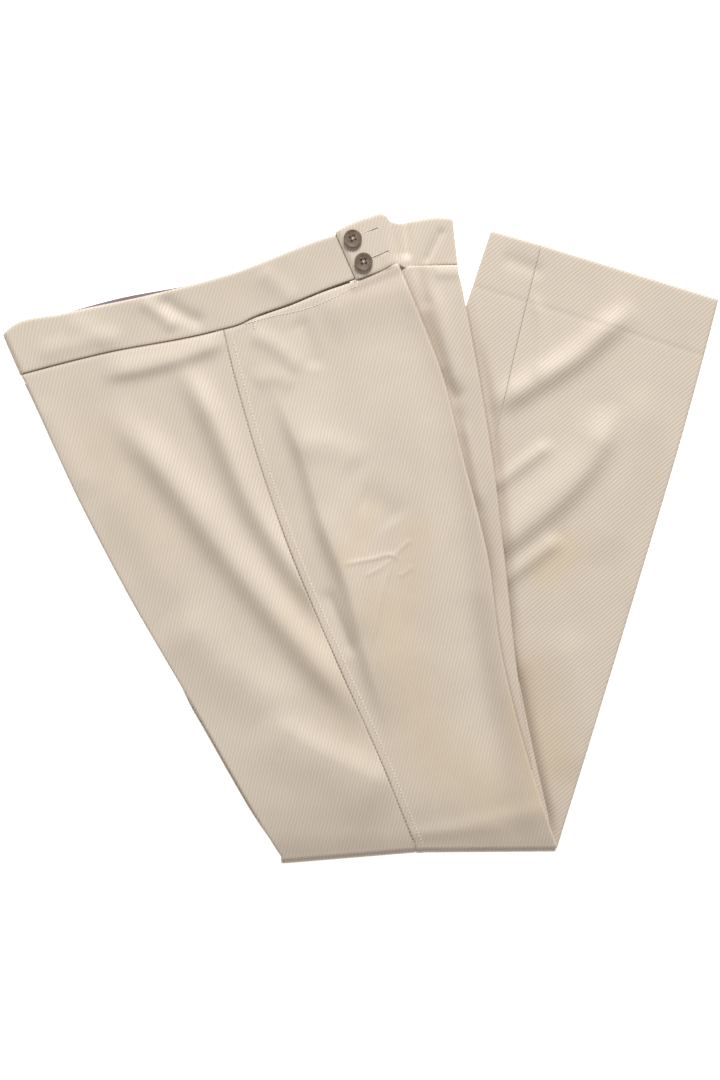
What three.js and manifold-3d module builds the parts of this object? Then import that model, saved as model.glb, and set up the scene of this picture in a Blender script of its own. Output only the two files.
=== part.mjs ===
// Straight leg twill trousers, folded along the leg creases and once more at the knee, lying
// flat. Millimetres, +Z up, the floor at Z = 0, the middle of the footprint at the origin.
// +Y points to the waist end. The right leg lies on the left leg, and both shins are turned
// under at the knee, so that the hems come out beside the waistband.
import * as THREE from "three";
import { mergeVertices } from "three/addons/utils/BufferGeometryUtils.js";
import Module from "manifold-3d";

const wasm = await Module();
wasm.setup();

// ---- driving dimensions ----
const CLOTH = 1.2; // wall of the twill
const BAND = 2.2; // waistband: two thicknesses with interfacing
const FACING = 0.9; // grey inside facing of the waistband
const GAP = 0.3; // between one piece and the next
const THIGH_GAP = 1.1; // between the right thigh and the left one
const SEAM_SIDE = 0.24; // each side of a slanted seam, so that the gap across it is GAP
const LEG = 4.2; // height of one leg, folded at its creases
const TUCK = 4; // how far a folded edge runs back under itself
const EDGE_INSET = 9; // the hidden layers stay this far inside a crease that wraps them
const LIFT_RUN = 115; // distance over which the cloth climbs on to the shins
const LIFT_EARLY = 4; // the climb ends this far before the shins' back crease
const KNEE_RUN = 70; // the thigh settles to the height of the knee fold over this length
const STRIP_TUCK = 13; // how far the left thigh runs in under the right one
const STRIP_SAG = 5; // room between the two legs where they climb, at most a quarter of this
const FAR_BAND_OUT = 3.4; // the far side of the waistband stands out past the near one
const BUTTON_DIAMETER = 16.5;
const BUTTON_THICK = 2.6;
const BUTTON_HOLE = 1.9; // diameter of a thread hole
const BUTTON_HOLE_PITCH = 3.4;
const BUTTON_SHANK = 0.9; // thread between the tab and the button

const CREASE_RADIUS = LEG / 2;
const STRIP_TOP = LEG; // left thigh on the floor
const SHIN_TOP = 2 * LEG + GAP; // left shin on the right shin
const THIGH_TOP = 2 * LEG + THIGH_GAP; // right thigh on the left thigh
const LIFT = SHIN_TOP + GAP; // how far the shins raise the thighs
const KNEE_RADIUS = (THIGH_TOP + LIFT) / 2;
const BAND_TOP = THIGH_TOP + 0.4;
const TAB_TOP = BAND_TOP + BAND + 0.4;

const TWILL_COLOUR = 0xdcceb9;
const FACING_COLOUR = 0x7d7175;
const BUTTON_COLOUR = 0x6b5848;
const twill = new THREE.MeshStandardMaterial({ color: TWILL_COLOUR, roughness: 0.6, metalness: 0 });
const facing = new THREE.MeshStandardMaterial({ color: FACING_COLOUR, roughness: 0.8, metalness: 0 });
const horn = new THREE.MeshStandardMaterial({ color: BUTTON_COLOUR, roughness: 0.35, metalness: 0 });

// ---- outlines: smooth curves through the points that each edge needs ----
const point = ([x, y, z = 0]) => new THREE.Vector3(x, y, z);
const curve = (points) => new THREE.CatmullRomCurve3(points.map(point), false, "centripetal");

// Thigh edges, from the waist seam down to the knee fold.
const seatEdge = curve([[-305, 144], [-301, 136], [-271, 71], [-216, -37], [-133, -181], [-76, -283]]);
const rightSideSeam = curve([[-123, 186.5], [-101, 103], [-65, -6], [-21.6, -109], [23, -210], [47, -273]]);
const rightCrease = curve(
  [[34, 246], [69, 165], [93, 71], [115, -17], [127, -101], [151, -198], [173.5, -272.5]]);
const leftCrease = curve([[87.5, 246.5], [104.5, 161], [119, 75], [130.5, -19], [142, -122], [157.5, -221]]);
// Knee fold, from the seat end to the front crease.
const kneeSeat = point([-71, -292.5]);
const kneeSeam = point([50, -282.5]);
const kneeFront = point([176.5, -281.5]);
// Waistband edges, from the centre back to the front.
const bandTop = curve(
  [[-322, 184], [-313, 192], [-266, 203.5], [-180, 222], [-115, 239.5], [-26, 273], [20, 284]]);
const bandSeam = curve([
  [-306, 147.5], [-234, 166], [-129, 187], [-106, 193.8], [-99, 197.6], [-62, 211.3], [-35, 222.5],
  [27, 243.5]]);
const thighTop = curve([
  [-305, 147.2], [-234, 165.7], [-129, 186.7], [-106, 192.9], [-99, 196.6], [-62, 210.7], [-35, 222.1],
  [34, 246]]);
// Shin edges, from the hem down towards the knee.
const hemBack = point([118, 278]);
const shinBack = curve([[118, 278], [46.4, 62]]);
const shinFront = curve([[323, 216], [299, 125], [246, -55], [191, -235], [181, -266]]);
const leftSideSeam = curve([[163.5, 265], [149.5, 210], [130.5, 129], [115, 62]]);
const shinTucked = curve(
  [[115, 62], [117.5, 30], [121, -19], [129, -87], [140, -157], [149, -217], [163, -257]]);

// ---- heights ----
const smooth = (t) => {
  const c = Math.min(1, Math.max(0, t));
  return c * c * (3 - 2 * c);
};

// How far a point lies past the shins' back crease, negative on the seat side.
const shinRun = point([-71, -292.5]).sub(hemBack).normalize();
const pastShin = (x, y) => shinRun.x * (y - hemBack.y) - shinRun.y * (x - hemBack.x);
const lift = (x, y) => LIFT * smooth((pastShin(x, y) + LIFT_EARLY + LIFT_RUN) / LIFT_RUN);

// Large soft folds of the right thigh: a ridge or trough along a line, fading at its ends.
const FOLDS = [
  { from: [-172, 62], to: [-22, -150], width: 17, height: 2.2 },
  { from: [-131, 108], to: [-42, -66], width: 13, height: 2.0 },
  { from: [-150, 100], to: [-62, -58], width: 12, height: -1.8 },
  { from: [-190, 28], to: [-40, -178], width: 16, height: -1.6 },
  { from: [-110, -150], to: [20, -215], width: 15, height: 1.6 },
];
const foldHeight = ({ from, to, width, height }, x, y) => {
  const length = Math.hypot(to[0] - from[0], to[1] - from[1]);
  const ux = (to[0] - from[0]) / length;
  const uy = (to[1] - from[1]) / length;
  const along = ((x - from[0]) * ux + (y - from[1]) * uy) / length;
  const across = (x - from[0]) * uy - (y - from[1]) * ux;
  return height * Math.exp(-((across / width) ** 2)) * smooth(along / 0.3) * smooth((1 - along) / 0.3);
};
const kneeLine = (x) => {
  const [a, b] = x < kneeSeam.x ? [kneeSeat, kneeSeam] : [kneeSeam, kneeFront];
  return a.y + ((b.y - a.y) * (x - a.x)) / (b.x - a.x);
};
const thighHeight = (x, y) => {
  const free = THIGH_TOP + lift(x, y) + FOLDS.reduce((sum, fold) => sum + foldHeight(fold, x, y), 0);
  const share = smooth((y - kneeLine(x) - KNEE_RADIUS) / KNEE_RUN);
  return 2 * KNEE_RADIUS * (1 - share) + free * share;
};
// The strip hangs a little lower than the right leg where both climb on to the shins.
const stripHeight = (x, y) => {
  const raised = lift(x, y);
  const share = raised / LIFT;
  return STRIP_TOP + raised - STRIP_SAG * share * (1 - share);
};
const level = (z) => () => z;

// ---- closed walls from rows of { p, n }: the outer point and its outward direction ----
function wall(rows, thickness) {
  const columns = rows[0].length;
  const inner = rows.length * columns;
  const flat = rows.flat();
  const positions = [
    ...flat.flatMap(({ p }) => p.toArray()),
    ...flat.flatMap(({ p, n }) => p.clone().addScaledVector(n, -thickness).toArray()),
  ];
  const at = (i, j) => i * columns + j;
  const index = [];
  const quad = (a, b, c, d) => index.push(a, b, c, a, c, d);
  for (let i = 0; i < rows.length - 1; i++)
    for (let j = 0; j < columns - 1; j++) {
      const [a, b, c, d] = [at(i, j), at(i + 1, j), at(i + 1, j + 1), at(i, j + 1)];
      quad(a, b, c, d);
      quad(inner + a, inner + d, inner + c, inner + b);
    }
  const rim = (a, b) => quad(a, b, inner + b, inner + a);
  for (let i = 0; i < rows.length - 1; i++) {
    rim(at(i + 1, 0), at(i, 0));
    rim(at(i, columns - 1), at(i + 1, columns - 1));
  }
  for (let j = 0; j < columns - 1; j++) {
    rim(at(0, j), at(0, j + 1));
    rim(at(rows.length - 1, j + 1), at(rows.length - 1, j));
  }
  return facingOut(positions, index);
}

function facingOut(positions, index) {
  const corner = (k) => new THREE.Vector3().fromArray(positions, index[k] * 3);
  let volume = 0;
  for (let k = 0; k < index.length; k += 3) volume += corner(k).dot(corner(k + 1).cross(corner(k + 2)));
  if (volume < 0) index.reverse();
  return new THREE.BufferGeometry()
    .setAttribute("position", new THREE.Float32BufferAttribute(positions, 3))
    .setIndex(index);
}

// The same rows made larger all round, to cut room for the piece out of the hidden layers.
function widened(rows, grow) {
  const away = (a, b) => a.p.clone().sub(b.p).setLength(grow);
  const last = rows.length - 1;
  return rows.map((row, i) =>
    row.map(({ p, n }, j) => {
      const q = p.clone().addScaledVector(n, grow);
      if (j === 0) q.add(away(row[0], row[1]));
      if (j === row.length - 1) q.add(away(row[j], row[j - 1]));
      if (i === 0) q.add(away(rows[0][j], rows[1][j]));
      if (i === last) q.add(away(rows[last][j], rows[last - 1][j]));
      return { p: q, n };
    }),
  );
}

// One row of cloth. place(d) is the point at the distance d from the left end, and normal(p)
// its outward direction. A folded end is rolled round and runs back under the row.
const ROLL_STEPS = 4;
function clothRow({ place, normal, up, width, columns, foldLeft, foldRight, radius = CREASE_RADIUS }) {
  const from = foldLeft ? radius : 0;
  const to = width - (foldRight ? radius : 0);
  const roll = (start, beyond) => {
    const out = place(beyond).sub(place(start)).normalize();
    const rise = up.clone().addScaledVector(out, -out.dot(up)).normalize();
    const centre = place(start).addScaledVector(rise, -radius);
    const points = [];
    for (let k = 1; k <= ROLL_STEPS; k++) {
      const angle = (Math.PI * k) / ROLL_STEPS;
      const n = rise.clone().multiplyScalar(Math.cos(angle)).addScaledVector(out, Math.sin(angle));
      points.push({ p: centre.clone().addScaledVector(n, radius), n });
    }
    const { p, n } = points[ROLL_STEPS - 1];
    return [...points, { p: p.clone().addScaledVector(out, -TUCK), n }];
  };
  const middle = Array.from({ length: columns + 1 }, (_, j) => {
    const p = place(from + ((to - from) * j) / columns);
    return { p, n: normal(p) };
  });
  const left = foldLeft ? roll(from, 0).reverse() : [];
  const right = foldRight ? roll(to, width) : [];
  return [...left, ...middle, ...right];
}

// The top rows of a thigh panel bend on to the curved waist seam.
const WAIST_BEND = 0.25; // share of the panel's length over which they straighten again
const waistLine = thighTop.getPoints(60);
function waistBend(p, a, b, v) {
  const k = Math.max(1, waistLine.findIndex(({ x }) => x >= p.x));
  const [from, to] = [waistLine[k - 1], waistLine[k]];
  const y = from.y + ((to.y - from.y) * (p.x - from.x)) / (to.x - from.x);
  const straight = a.y + ((b.y - a.y) * (p.x - a.x)) / (b.x - a.x);
  return (y - straight) * (1 - smooth(v / WAIST_BEND));
}

// Rows of a sheet between a left and a right edge, from the top down.
function sheet({ left, right, rows, height, knee, bend, ...options }) {
  const up = new THREE.Vector3(0, 0, 1);
  const normal = (p) =>
    new THREE.Vector3(
      (height(p.x - 1, p.y) - height(p.x + 1, p.y)) / 2,
      (height(p.x, p.y - 1) - height(p.x, p.y + 1)) / 2,
      1,
    ).normalize();
  const made = [];
  for (let i = 0; i <= rows; i++) {
    const v = i / rows;
    const a = left(v);
    const b = right(v);
    const run = b.clone().sub(a);
    const width = run.length();
    const place = (d) => {
      const p = a.clone().addScaledVector(run, d / width);
      if (bend) p.y += bend(p, a, b, v);
      return p.setZ(height(p.x, p.y));
    };
    made.push(clothRow({ place, normal, up, width, ...options }));
  }
  return knee ? [...made, ...kneeRows(knee, options)] : made;
}

// The turn of the outer cloth round the knee fold, from its top down to the floor.
const KNEE_STEPS = 6;
function kneeRows([a, b], options) {
  const run = b.clone().sub(a);
  const width = run.length();
  const rows = [];
  for (let i = 1; i <= KNEE_STEPS; i++) {
    const angle = (Math.PI * i) / KNEE_STEPS;
    const up = new THREE.Vector3(0, -Math.sin(angle), Math.cos(angle));
    const shift = new THREE.Vector3(0, KNEE_RADIUS, KNEE_RADIUS).addScaledVector(up, KNEE_RADIUS);
    const place = (d) => a.clone().addScaledVector(run, d / width).add(shift);
    rows.push(clothRow({ place, normal: () => up, up, width, ...options }));
  }
  return rows;
}

// Rows of a band that follows a curved upper and lower edge.
const BAND_ROWS = 2;
const BAND_LENGTH = 360; // longer than any band here, so that a roll has its share of it
function band({ upper, lower, columns, height, ...options }) {
  const up = new THREE.Vector3(0, 0, 1);
  const rows = [];
  for (let i = 0; i <= BAND_ROWS; i++) {
    const along = (u) => {
      const p = upper(u).lerp(lower(u), i / BAND_ROWS);
      return height === undefined ? p : p.setZ(height);
    };
    const place = (d) => along(Math.min(1, Math.max(0, d / BAND_LENGTH)));
    rows.push(clothRow({ place, normal: () => up, up, width: BAND_LENGTH, columns, ...options }));
  }
  return rows;
}

// A solid between two edges with rounded sides, from a floor height to a top height.
const ROUND = [[0, 0.3], [0.3, 0.75], [1, 1]]; // share of the rounding width, of the half height
function cushion({ left, right, rows, columns, top, bottom = 0, round = 2 }) {
  const grid = [];
  for (let i = 0; i <= rows; i++) {
    const a = left(i / rows);
    const b = right(i / rows);
    const out = b.clone().sub(a);
    const width = out.length();
    const stops = [
      ...ROUND.map(([share, full]) => [(share * round) / width, full]),
      ...Array.from({ length: columns - 1 }, (_, j) => [(j + 1) / columns, 1]),
      ...ROUND.map(([share, full]) => [1 - (share * round) / width, full]).reverse(),
    ];
    grid.push(
      stops.map(([t, full]) => {
        const p = a.clone().addScaledVector(out, t);
        const high = top(p.x, p.y);
        const middle = (high + bottom) / 2;
        const half = ((high - bottom) / 2) * full;
        return { p: p.setZ(middle + half), n: new THREE.Vector3(0, 0, 2 * half) };
      }),
    );
  }
  return wall(grid, 1);
}

// ---- edges as functions of the share v of their length ----
const on = (edge, dx = 0, dy = 0) => (v) => edge.getPoint(v).add(point([dx, dy]));
const part = (edge, from, to) => (v) => edge(from + (to - from) * v);
const moved = (edge, dx, dy = 0) => (v) => edge(v).add(point([dx, dy]));
// A thigh edge bends over the last stretch to meet the knee fold where its turn begins.
const toKnee = (edge, end) => (v) => {
  const goal = point([end.x, end.y + KNEE_RADIUS]);
  return edge.getPoint(v).lerp(goal, smooth((v - 0.8) / 0.2));
};
const seat = toKnee(seatEdge, kneeSeat);
const sideSeam = toKnee(rightSideSeam, kneeSeam);
const frontCrease = toKnee(rightCrease, kneeFront);
const asideSeam = (dx) => kneeSeam.clone().add(point([dx, 0]));

// ---- manifold helpers ----
function solidOf(geometry) {
  const bare = geometry.clone();
  bare.deleteAttribute("normal");
  bare.deleteAttribute("uv");
  const merged = mergeVertices(bare, 1e-4);
  const vertProperties = merged.attributes.position.array;
  return new wasm.Manifold(
    new wasm.Mesh({ numProp: 3, vertProperties, triVerts: new Uint32Array(merged.index.array) }));
}
function geometryOf(solid) {
  const { vertProperties, triVerts } = solid.getMesh();
  return new THREE.BufferGeometry()
    .setAttribute("position", new THREE.BufferAttribute(new Float32Array(vertProperties), 3))
    .setIndex(new THREE.BufferAttribute(new Uint32Array(triVerts), 1));
}

const trousers = new THREE.Group();
function add(name, geometry, material) {
  geometry.computeVertexNormals();
  const mesh = new THREE.Mesh(geometry, material);
  mesh.name = name;
  trousers.add(mesh);
  return mesh;
}
// A cloth piece, and the room that the hidden layers leave for it.
const rooms = [];
function addCloth(name, rows, thickness, material = twill) {
  add(name, wall(rows, thickness), material);
  rooms.push(wall(widened(rows, GAP), thickness + 2 * GAP));
}

// ---- right leg, from the waist seam to the floor side of the knee fold ----
const THIGH_ROWS = 15;
addCloth("right_leg_back", sheet({
  left: seat, right: moved(sideSeam, -SEAM_SIDE), rows: THIGH_ROWS, columns: 8,
  height: thighHeight, foldLeft: true, bend: waistBend, knee: [kneeSeat, asideSeam(-SEAM_SIDE)],
}), CLOTH);
addCloth("right_leg_front", sheet({
  left: moved(sideSeam, SEAM_SIDE), right: frontCrease, rows: THIGH_ROWS, columns: 7,
  height: thighHeight, foldRight: true, bend: waistBend, knee: [asideSeam(SEAM_SIDE), kneeFront],
}), CLOTH);

// ---- left leg: the strip beside the right leg, and the shin, face up ----
const creaseAt = (y) => {
  const steps = 60;
  const nearest = (best, p) => (Math.abs(p.y - y) < Math.abs(best.y - y) ? p : best);
  return Array.from({ length: steps + 1 }, (_, k) => rightCrease.getPoint(k / steps)).reduce(nearest).x;
};
const stripRight = part(on(leftCrease), 0, 0.93);
const stripLeft = (v) => {
  const { y } = stripRight(v);
  return point([creaseAt(y) - STRIP_TUCK, y - (1 - v) * 3.4]);
};
addCloth("left_leg_front_thigh", sheet({
  left: stripLeft, right: stripRight, rows: 14, columns: 4, height: stripHeight, foldRight: true,
}), CLOTH);
addCloth("left_leg_back_shin", sheet({
  left: on(shinBack), right: on(leftSideSeam, -SEAM_SIDE), rows: 6, columns: 2,
  height: level(SHIN_TOP), foldLeft: true,
}), CLOTH);
const SEAM_SHARE = 0.4; // share of the shin's rows above the place where its seam goes under
const shinLeft = (v) =>
  v < SEAM_SHARE
    ? on(leftSideSeam, SEAM_SIDE)(v / SEAM_SHARE)
    : on(shinTucked, SEAM_SIDE)((v - SEAM_SHARE) / (1 - SEAM_SHARE));
addCloth("left_leg_front_shin", sheet({
  left: shinLeft, right: on(shinFront), rows: 10, columns: 4, height: level(SHIN_TOP), foldRight: true,
}), CLOTH);

// ---- waistband ----
addCloth("waistband_right", band({
  upper: on(bandTop), lower: on(bandSeam, 0, GAP), columns: 14, height: BAND_TOP,
  foldLeft: true, radius: BAND_TOP / 2,
}), BAND);

// The left waistband, from the fold at the left front crease to the free end of the button tab,
// which lies on the right waistband.
const STRIP_BAND_TOP = STRIP_TOP + 0.4;
const tabTop = curve([
  [-22.5, 276, TAB_TOP], [-8, 284, TAB_TOP], [8, 289.8, TAB_TOP], [21, 292.5, TAB_TOP],
  [25.5, 288.5, TAB_TOP - 1], [30, 285.8, TAB_TOP - 3], [38, 285.3, STRIP_BAND_TOP + 2],
  [48, 287, STRIP_BAND_TOP + 0.4], [68, 290, STRIP_BAND_TOP], [83.5, 289, STRIP_BAND_TOP]]);
const tabLow = curve([
  [-3.5, 233.5, TAB_TOP], [7, 237.5, TAB_TOP], [19, 242, TAB_TOP], [31, 246.8, TAB_TOP],
  [36.5, 246.8, TAB_TOP - 1.8], [41.5, 244.8, STRIP_BAND_TOP + 2.6], [48, 245, STRIP_BAND_TOP + 0.8],
  [58, 245.7, STRIP_BAND_TOP], [72, 246.5, STRIP_BAND_TOP], [87.8, 247.2, STRIP_BAND_TOP]]);
addCloth("waistband_left", band({
  upper: (u) => tabTop.getPoint(u), lower: (u) => tabLow.getPoint(u), columns: 14,
  foldRight: true, radius: STRIP_BAND_TOP / 2,
}), BAND - 0.2);

// The far side of the waistband bows out past the near side, which bares its grey facing.
const bow = (v) => Math.sin(Math.PI * smooth((v - 0.12) / 0.42));
const farTop = (v) => bandTop.getPoint(v).add(point([0, v < 0.54 ? FAR_BAND_OUT * bow(v) : 0]));
const farLow = on(bandSeam, 0, GAP);
addCloth("waistband_facing", band({
  upper: part(farTop, 0.05, 0.9), lower: part(farLow, 0.05, 0.9), columns: 14,
  height: BAND + GAP + FACING,
}), FACING, facing);

// ---- the strip of cloth behind the pocket mouth, which lies along the waist seam ----
const POCKET_TOP = THIGH_TOP - CLOTH - GAP;
addCloth("pocket_facing_right", band({
  upper: part(on(thighTop, -0.5, 0.6), 0.5, 0.86), lower: part(on(thighTop, 3, -9), 0.5, 0.86),
  columns: 6, height: BAND_TOP - BAND - GAP < POCKET_TOP ? BAND_TOP - BAND - GAP : POCKET_TOP,
}), CLOTH);

// ---- buttons: turned discs with a dished face and four thread holes ----
function buttonGeometry() {
  const r = BUTTON_DIAMETER / 2;
  const profile = [
    [0, 0], [r - 1.2, 0], [r, 0.9], [r, 1.8], [r - 0.7, BUTTON_THICK], [r - 1.8, BUTTON_THICK],
    [r - 3.2, BUTTON_THICK - 0.7], [0, BUTTON_THICK - 0.8],
  ].map(([x, y]) => new THREE.Vector2(x, y));
  let body = solidOf(new THREE.LatheGeometry(profile, 24).rotateX(Math.PI / 2));
  for (const [sx, sy] of [[1, 1], [1, -1], [-1, 1], [-1, -1]]) {
    const hole = new THREE.CylinderGeometry(BUTTON_HOLE / 2, BUTTON_HOLE / 2, BUTTON_THICK * 3, 8)
      .rotateX(Math.PI / 2)
      .translate((sx * BUTTON_HOLE_PITCH) / 2, (sy * BUTTON_HOLE_PITCH) / 2, 0);
    body = body.subtract(solidOf(hole));
  }
  return geometryOf(body);
}
for (const [name, x, y, turn] of [["button_upper", -6.5, 270, 0.45], ["button_lower", 3.2, 249.2, 0.2]]) {
  const button = add(name, buttonGeometry(), horn);
  button.position.set(x, y, TAB_TOP + BUTTON_SHANK);
  button.rotation.z = turn;
}

// ---- hidden layers: one rounded solid that fills the fold, flat on the floor ----
const WITHIN = 0.9; // the filling ends inside the cloth that covers it, and is cut back from it
const below = (height) => (x, y) => height(x, y) - WITHIN;
const PEEP = 3; // the left thigh's back crease shows this far past the right one, near the knee
const peep = (v) => -PEEP * smooth((v - 0.62) / 0.08) * smooth((0.94 - v) / 0.08);
const HEM_OPEN = 9; // depth of the opening at a hem
const HEM_SETBACK = 1.5; // the inner layers end this far inside the top one
const shinLength = hemBack.distanceTo(point([-71, -292.5]));
const onShinBack = (depth) => hemBack.clone().addScaledVector(shinRun, depth);
const onShinFront = (depth) => shinFront.getPointAt(depth / shinLength);
const hem = (depth, dx = 0, dy = 0) => ({
  left: (v) => onShinBack(depth + v * HEM_OPEN * 2).add(point([dx, dy])),
  right: (v) => onShinFront(depth + v * HEM_OPEN * 2).add(point([-dx, dy])),
});
const hemLayer = (bottom, top, depth, inset) =>
  cushion({ ...hem(depth, inset), rows: 1, columns: 3, top: level(top), bottom, round: 0.5 });
const fillings = [
  // the left thigh, on the floor and over the shins
  cushion({
    left: (v) => seat(v).add(point([0.4 + peep(v), 0])), right: moved(frontCrease, -6),
    rows: 20, columns: 10, top: (x, y) => stripHeight(x, y) - 0.05, round: CREASE_RADIUS,
  }),
  cushion({
    left: (v) => stripLeft(0.01 + v * 0.97).add(point([-8, 0])),
    right: (v) => stripRight(0.01 + v * 0.97).add(point([-EDGE_INSET, 0])),
    rows: 10, columns: 2, top: below(stripHeight), round: 1,
  }),
  // the inside of the right thigh
  cushion({
    left: moved(seat, EDGE_INSET), right: moved(frontCrease, -EDGE_INSET - 1),
    rows: 20, columns: 12, top: below(thighHeight), bottom: 1, round: 1,
  }),
  // the inside of the knee fold
  cushion({
    left: (v) => point([-64 + EDGE_INSET, -278 - 10 * v]),
    right: (v) => point([172 - EDGE_INSET, -268 - 9 * v]),
    rows: 2, columns: 2, top: level(2 * KNEE_RADIUS - 4), bottom: 3, round: 1,
  }),
  // the right shin, on the floor
  cushion({
    left: (v) => onShinBack(HEM_OPEN + v * (shinLength - 30)),
    right: (v) => onShinFront(HEM_OPEN + v * (shinLength * 0.93 - HEM_OPEN)),
    rows: 14, columns: 3, top: level(LEG), round: CREASE_RADIUS,
  }),
  // the inside of the left shin
  cushion({
    left: (v) => onShinBack(HEM_OPEN + v * (shinLength - 30)).add(point([EDGE_INSET, 0])),
    right: (v) => onShinFront(HEM_OPEN + v * (shinLength * 0.9 - HEM_OPEN)).add(point([-EDGE_INSET, 0])),
    rows: 14, columns: 3, top: below(level(SHIN_TOP)), bottom: 1, round: 1,
  }),
  // both layers of the right hem, and the under layer of the left hem
  hemLayer(0, CLOTH, HEM_SETBACK, 1.2),
  hemLayer(LEG - CLOTH, LEG, HEM_SETBACK, 1.2),
  hemLayer(LEG + GAP, LEG + GAP + CLOTH, HEM_SETBACK, 2),
  // the far side of the waistband, and the inside of the waist
  cushion({
    left: (v) => farTop(0.04 + v * 0.9), right: (v) => farLow(0.04 + v * 0.9).add(point([6, -12])),
    rows: 14, columns: 2, top: level(BAND), round: 1,
  }),
  cushion({
    left: (v) => bandTop.getPoint(0.08 + v * 0.86).add(point([2, -5])),
    right: (v) => farLow(0.08 + v * 0.86).add(point([6, -12])),
    rows: 14, columns: 2, top: level(BAND_TOP - BAND - GAP), bottom: 1, round: 1,
  }),
];
const join = (solids) => solids.reduce((sum, solid) => sum.add(solid));
const filled = join(fillings.map(solidOf)).subtract(join(rooms.map(solidOf)));
const [core] = filled.decompose().sort((a, b) => b.volume() - a.volume());
add("hidden_layers", geometryOf(core.simplify(0.04)), twill);

// ---- the middle of the footprint is the origin ----
const centre = new THREE.Box3().setFromObject(trousers).getCenter(new THREE.Vector3());
for (const piece of trousers.children) piece.position.sub(centre.setZ(0));

export default trousers;
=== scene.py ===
"""Straight leg twill trousers, folded along the leg creases and at the knee, lying flat."""
import math

import bmesh
import bpy
import numpy as np
from mathutils import Matrix, Vector


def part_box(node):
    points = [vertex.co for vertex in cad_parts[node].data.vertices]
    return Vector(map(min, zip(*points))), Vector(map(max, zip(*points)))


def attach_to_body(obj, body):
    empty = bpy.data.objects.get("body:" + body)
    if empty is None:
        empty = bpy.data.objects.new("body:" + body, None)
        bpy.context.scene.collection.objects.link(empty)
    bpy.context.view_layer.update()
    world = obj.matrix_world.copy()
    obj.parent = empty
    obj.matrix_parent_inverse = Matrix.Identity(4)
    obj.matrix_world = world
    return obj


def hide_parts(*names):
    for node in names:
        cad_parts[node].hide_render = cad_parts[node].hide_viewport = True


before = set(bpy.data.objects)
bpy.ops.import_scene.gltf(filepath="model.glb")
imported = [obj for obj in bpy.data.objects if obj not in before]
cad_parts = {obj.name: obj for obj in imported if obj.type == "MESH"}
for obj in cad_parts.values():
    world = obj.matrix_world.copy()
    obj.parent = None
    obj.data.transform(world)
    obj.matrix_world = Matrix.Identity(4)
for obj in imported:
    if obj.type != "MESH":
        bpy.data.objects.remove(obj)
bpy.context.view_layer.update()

bl_info = {
    "name": "Folded straight leg trousers",
    "version": (1, 0, 0),
    "blender": (4, 5, 0),
    "location": "View3D > Sidebar > Trousers",
    "description": "Builds folded twill trousers with a buttoned waist tab on their frame",
    "category": "Add Mesh",
}

MM = 0.001  # outlines and heights below are in millimetres


def span_mm(node, axis):
    """Lowest and highest coordinate of a frame node along an axis, in millimetres."""
    low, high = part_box(node)
    return low[axis] / MM, high[axis] / MM


# ---- sizes from the frame ----
LEG = span_mm("left_leg_back_shin", 2)[1] - span_mm("left_leg_back_shin", 2)[0]
SHIN_TOP = span_mm("left_leg_front_shin", 2)[1]
BAND_TOP = span_mm("waistband_right", 2)[1]
TAB_TOP = span_mm("waistband_left", 2)[1]
BUTTON_LOW, BUTTON_HIGH = span_mm("button_upper", 2)
KNEE_RADIUS = span_mm("right_leg_front", 2)[1] / 2 - 2  # the cloth is pressed a little flatter here
HEM_CORNER = (323.0, 216.0)
BAND_PEAK = 284.0  # highest point of the right waistband's outline
SHIFT = np.array([
    span_mm("left_leg_front_shin", 0)[1] - HEM_CORNER[0],
    span_mm("waistband_right", 1)[1] - BAND_PEAK,
    0.0,
])

# ---- sizes of the cut and the fold ----
CREASE_RADIUS = LEG / 2
STRIP_TOP = LEG
LIFT = SHIN_TOP + 0.3  # how far the shins raise the thighs
THIGH_TOP = BAND_TOP - 0.4
LIFT_RUN = 115.0  # the rise takes this far
LIFT_EARLY = 4.0  # and ends this far before the shins' edge
STRIP_SAG = 5.0  # the strip hangs lower than the leg over the middle of that rise
KNEE_RUN = 52.0  # the leg thins to the knee fold over this last stretch
KNEE_CALM = 16.0  # and its folds fade out over this one
KNEE_PULL = 0.2  # share of a thigh edge that bends over to meet the knee fold
STRIP_TUCK = 13.0  # the strip goes this far under the right leg
SEAM_SIDE = 0.07  # panels stop this far from the middle of a seam
LAP = 6.6  # width of the topstitched lap at the right side seam
FAR_BAND_OUT = 3.4  # the far side of the band bows out past the near side
STRIP_BAND_TOP = STRIP_TOP + 0.4
BAND_WALL = 1.8  # the band is two layers of twill
HEM_ALLOWANCE = 50.0
HEM_STEP = 0.2  # the hem allowance lifts the cloth over it
HEM_DENT = 0.15  # and draws it down beside it
SHIN_SINK = 0.4
HOLE_PITCH = 3.5
HOLE_WIDTH = 2.1
BUTTONHOLE_TURN = math.radians(23.5)
BUTTONHOLE_REACH = (8.2, 25.0)  # from the button's middle
BUTTONHOLE_SIDE = 0.95  # from the slit to its rows of stitches
BUTTONHOLE_PITCH = 0.62
SLIT_WIDTH = 0.45
BUTTONS = (("button_upper", 0.45), ("button_lower", 0.2))  # node, and its turn in radians
POCKET = (-96.0, -3.5)  # where the pocket mouth starts and ends, across
POCKET_GAP = 0.6  # the mouth stands open this much

# ---- lengths along the cut ----
THIGH_LENGTH = 505.0
UNDER_LENGTH = 480.0
STRIP_LENGTH = 436.0
BACK_SHIN_LENGTH = 216.0
FRONT_SHIN_LENGTH = 530.0
RIGHT_SHIN_LENGTH = 560.0
HEM_UNDER_LENGTH = 80.0
FLOOR_LENGTH = 440.0
BAND_LENGTH = 358.0
FAR_BAND_LENGTH = 336.0
TAB_LENGTH = 118.0
FACING_LENGTH = 310.0
POCKET_LENGTH = 124.0

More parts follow.
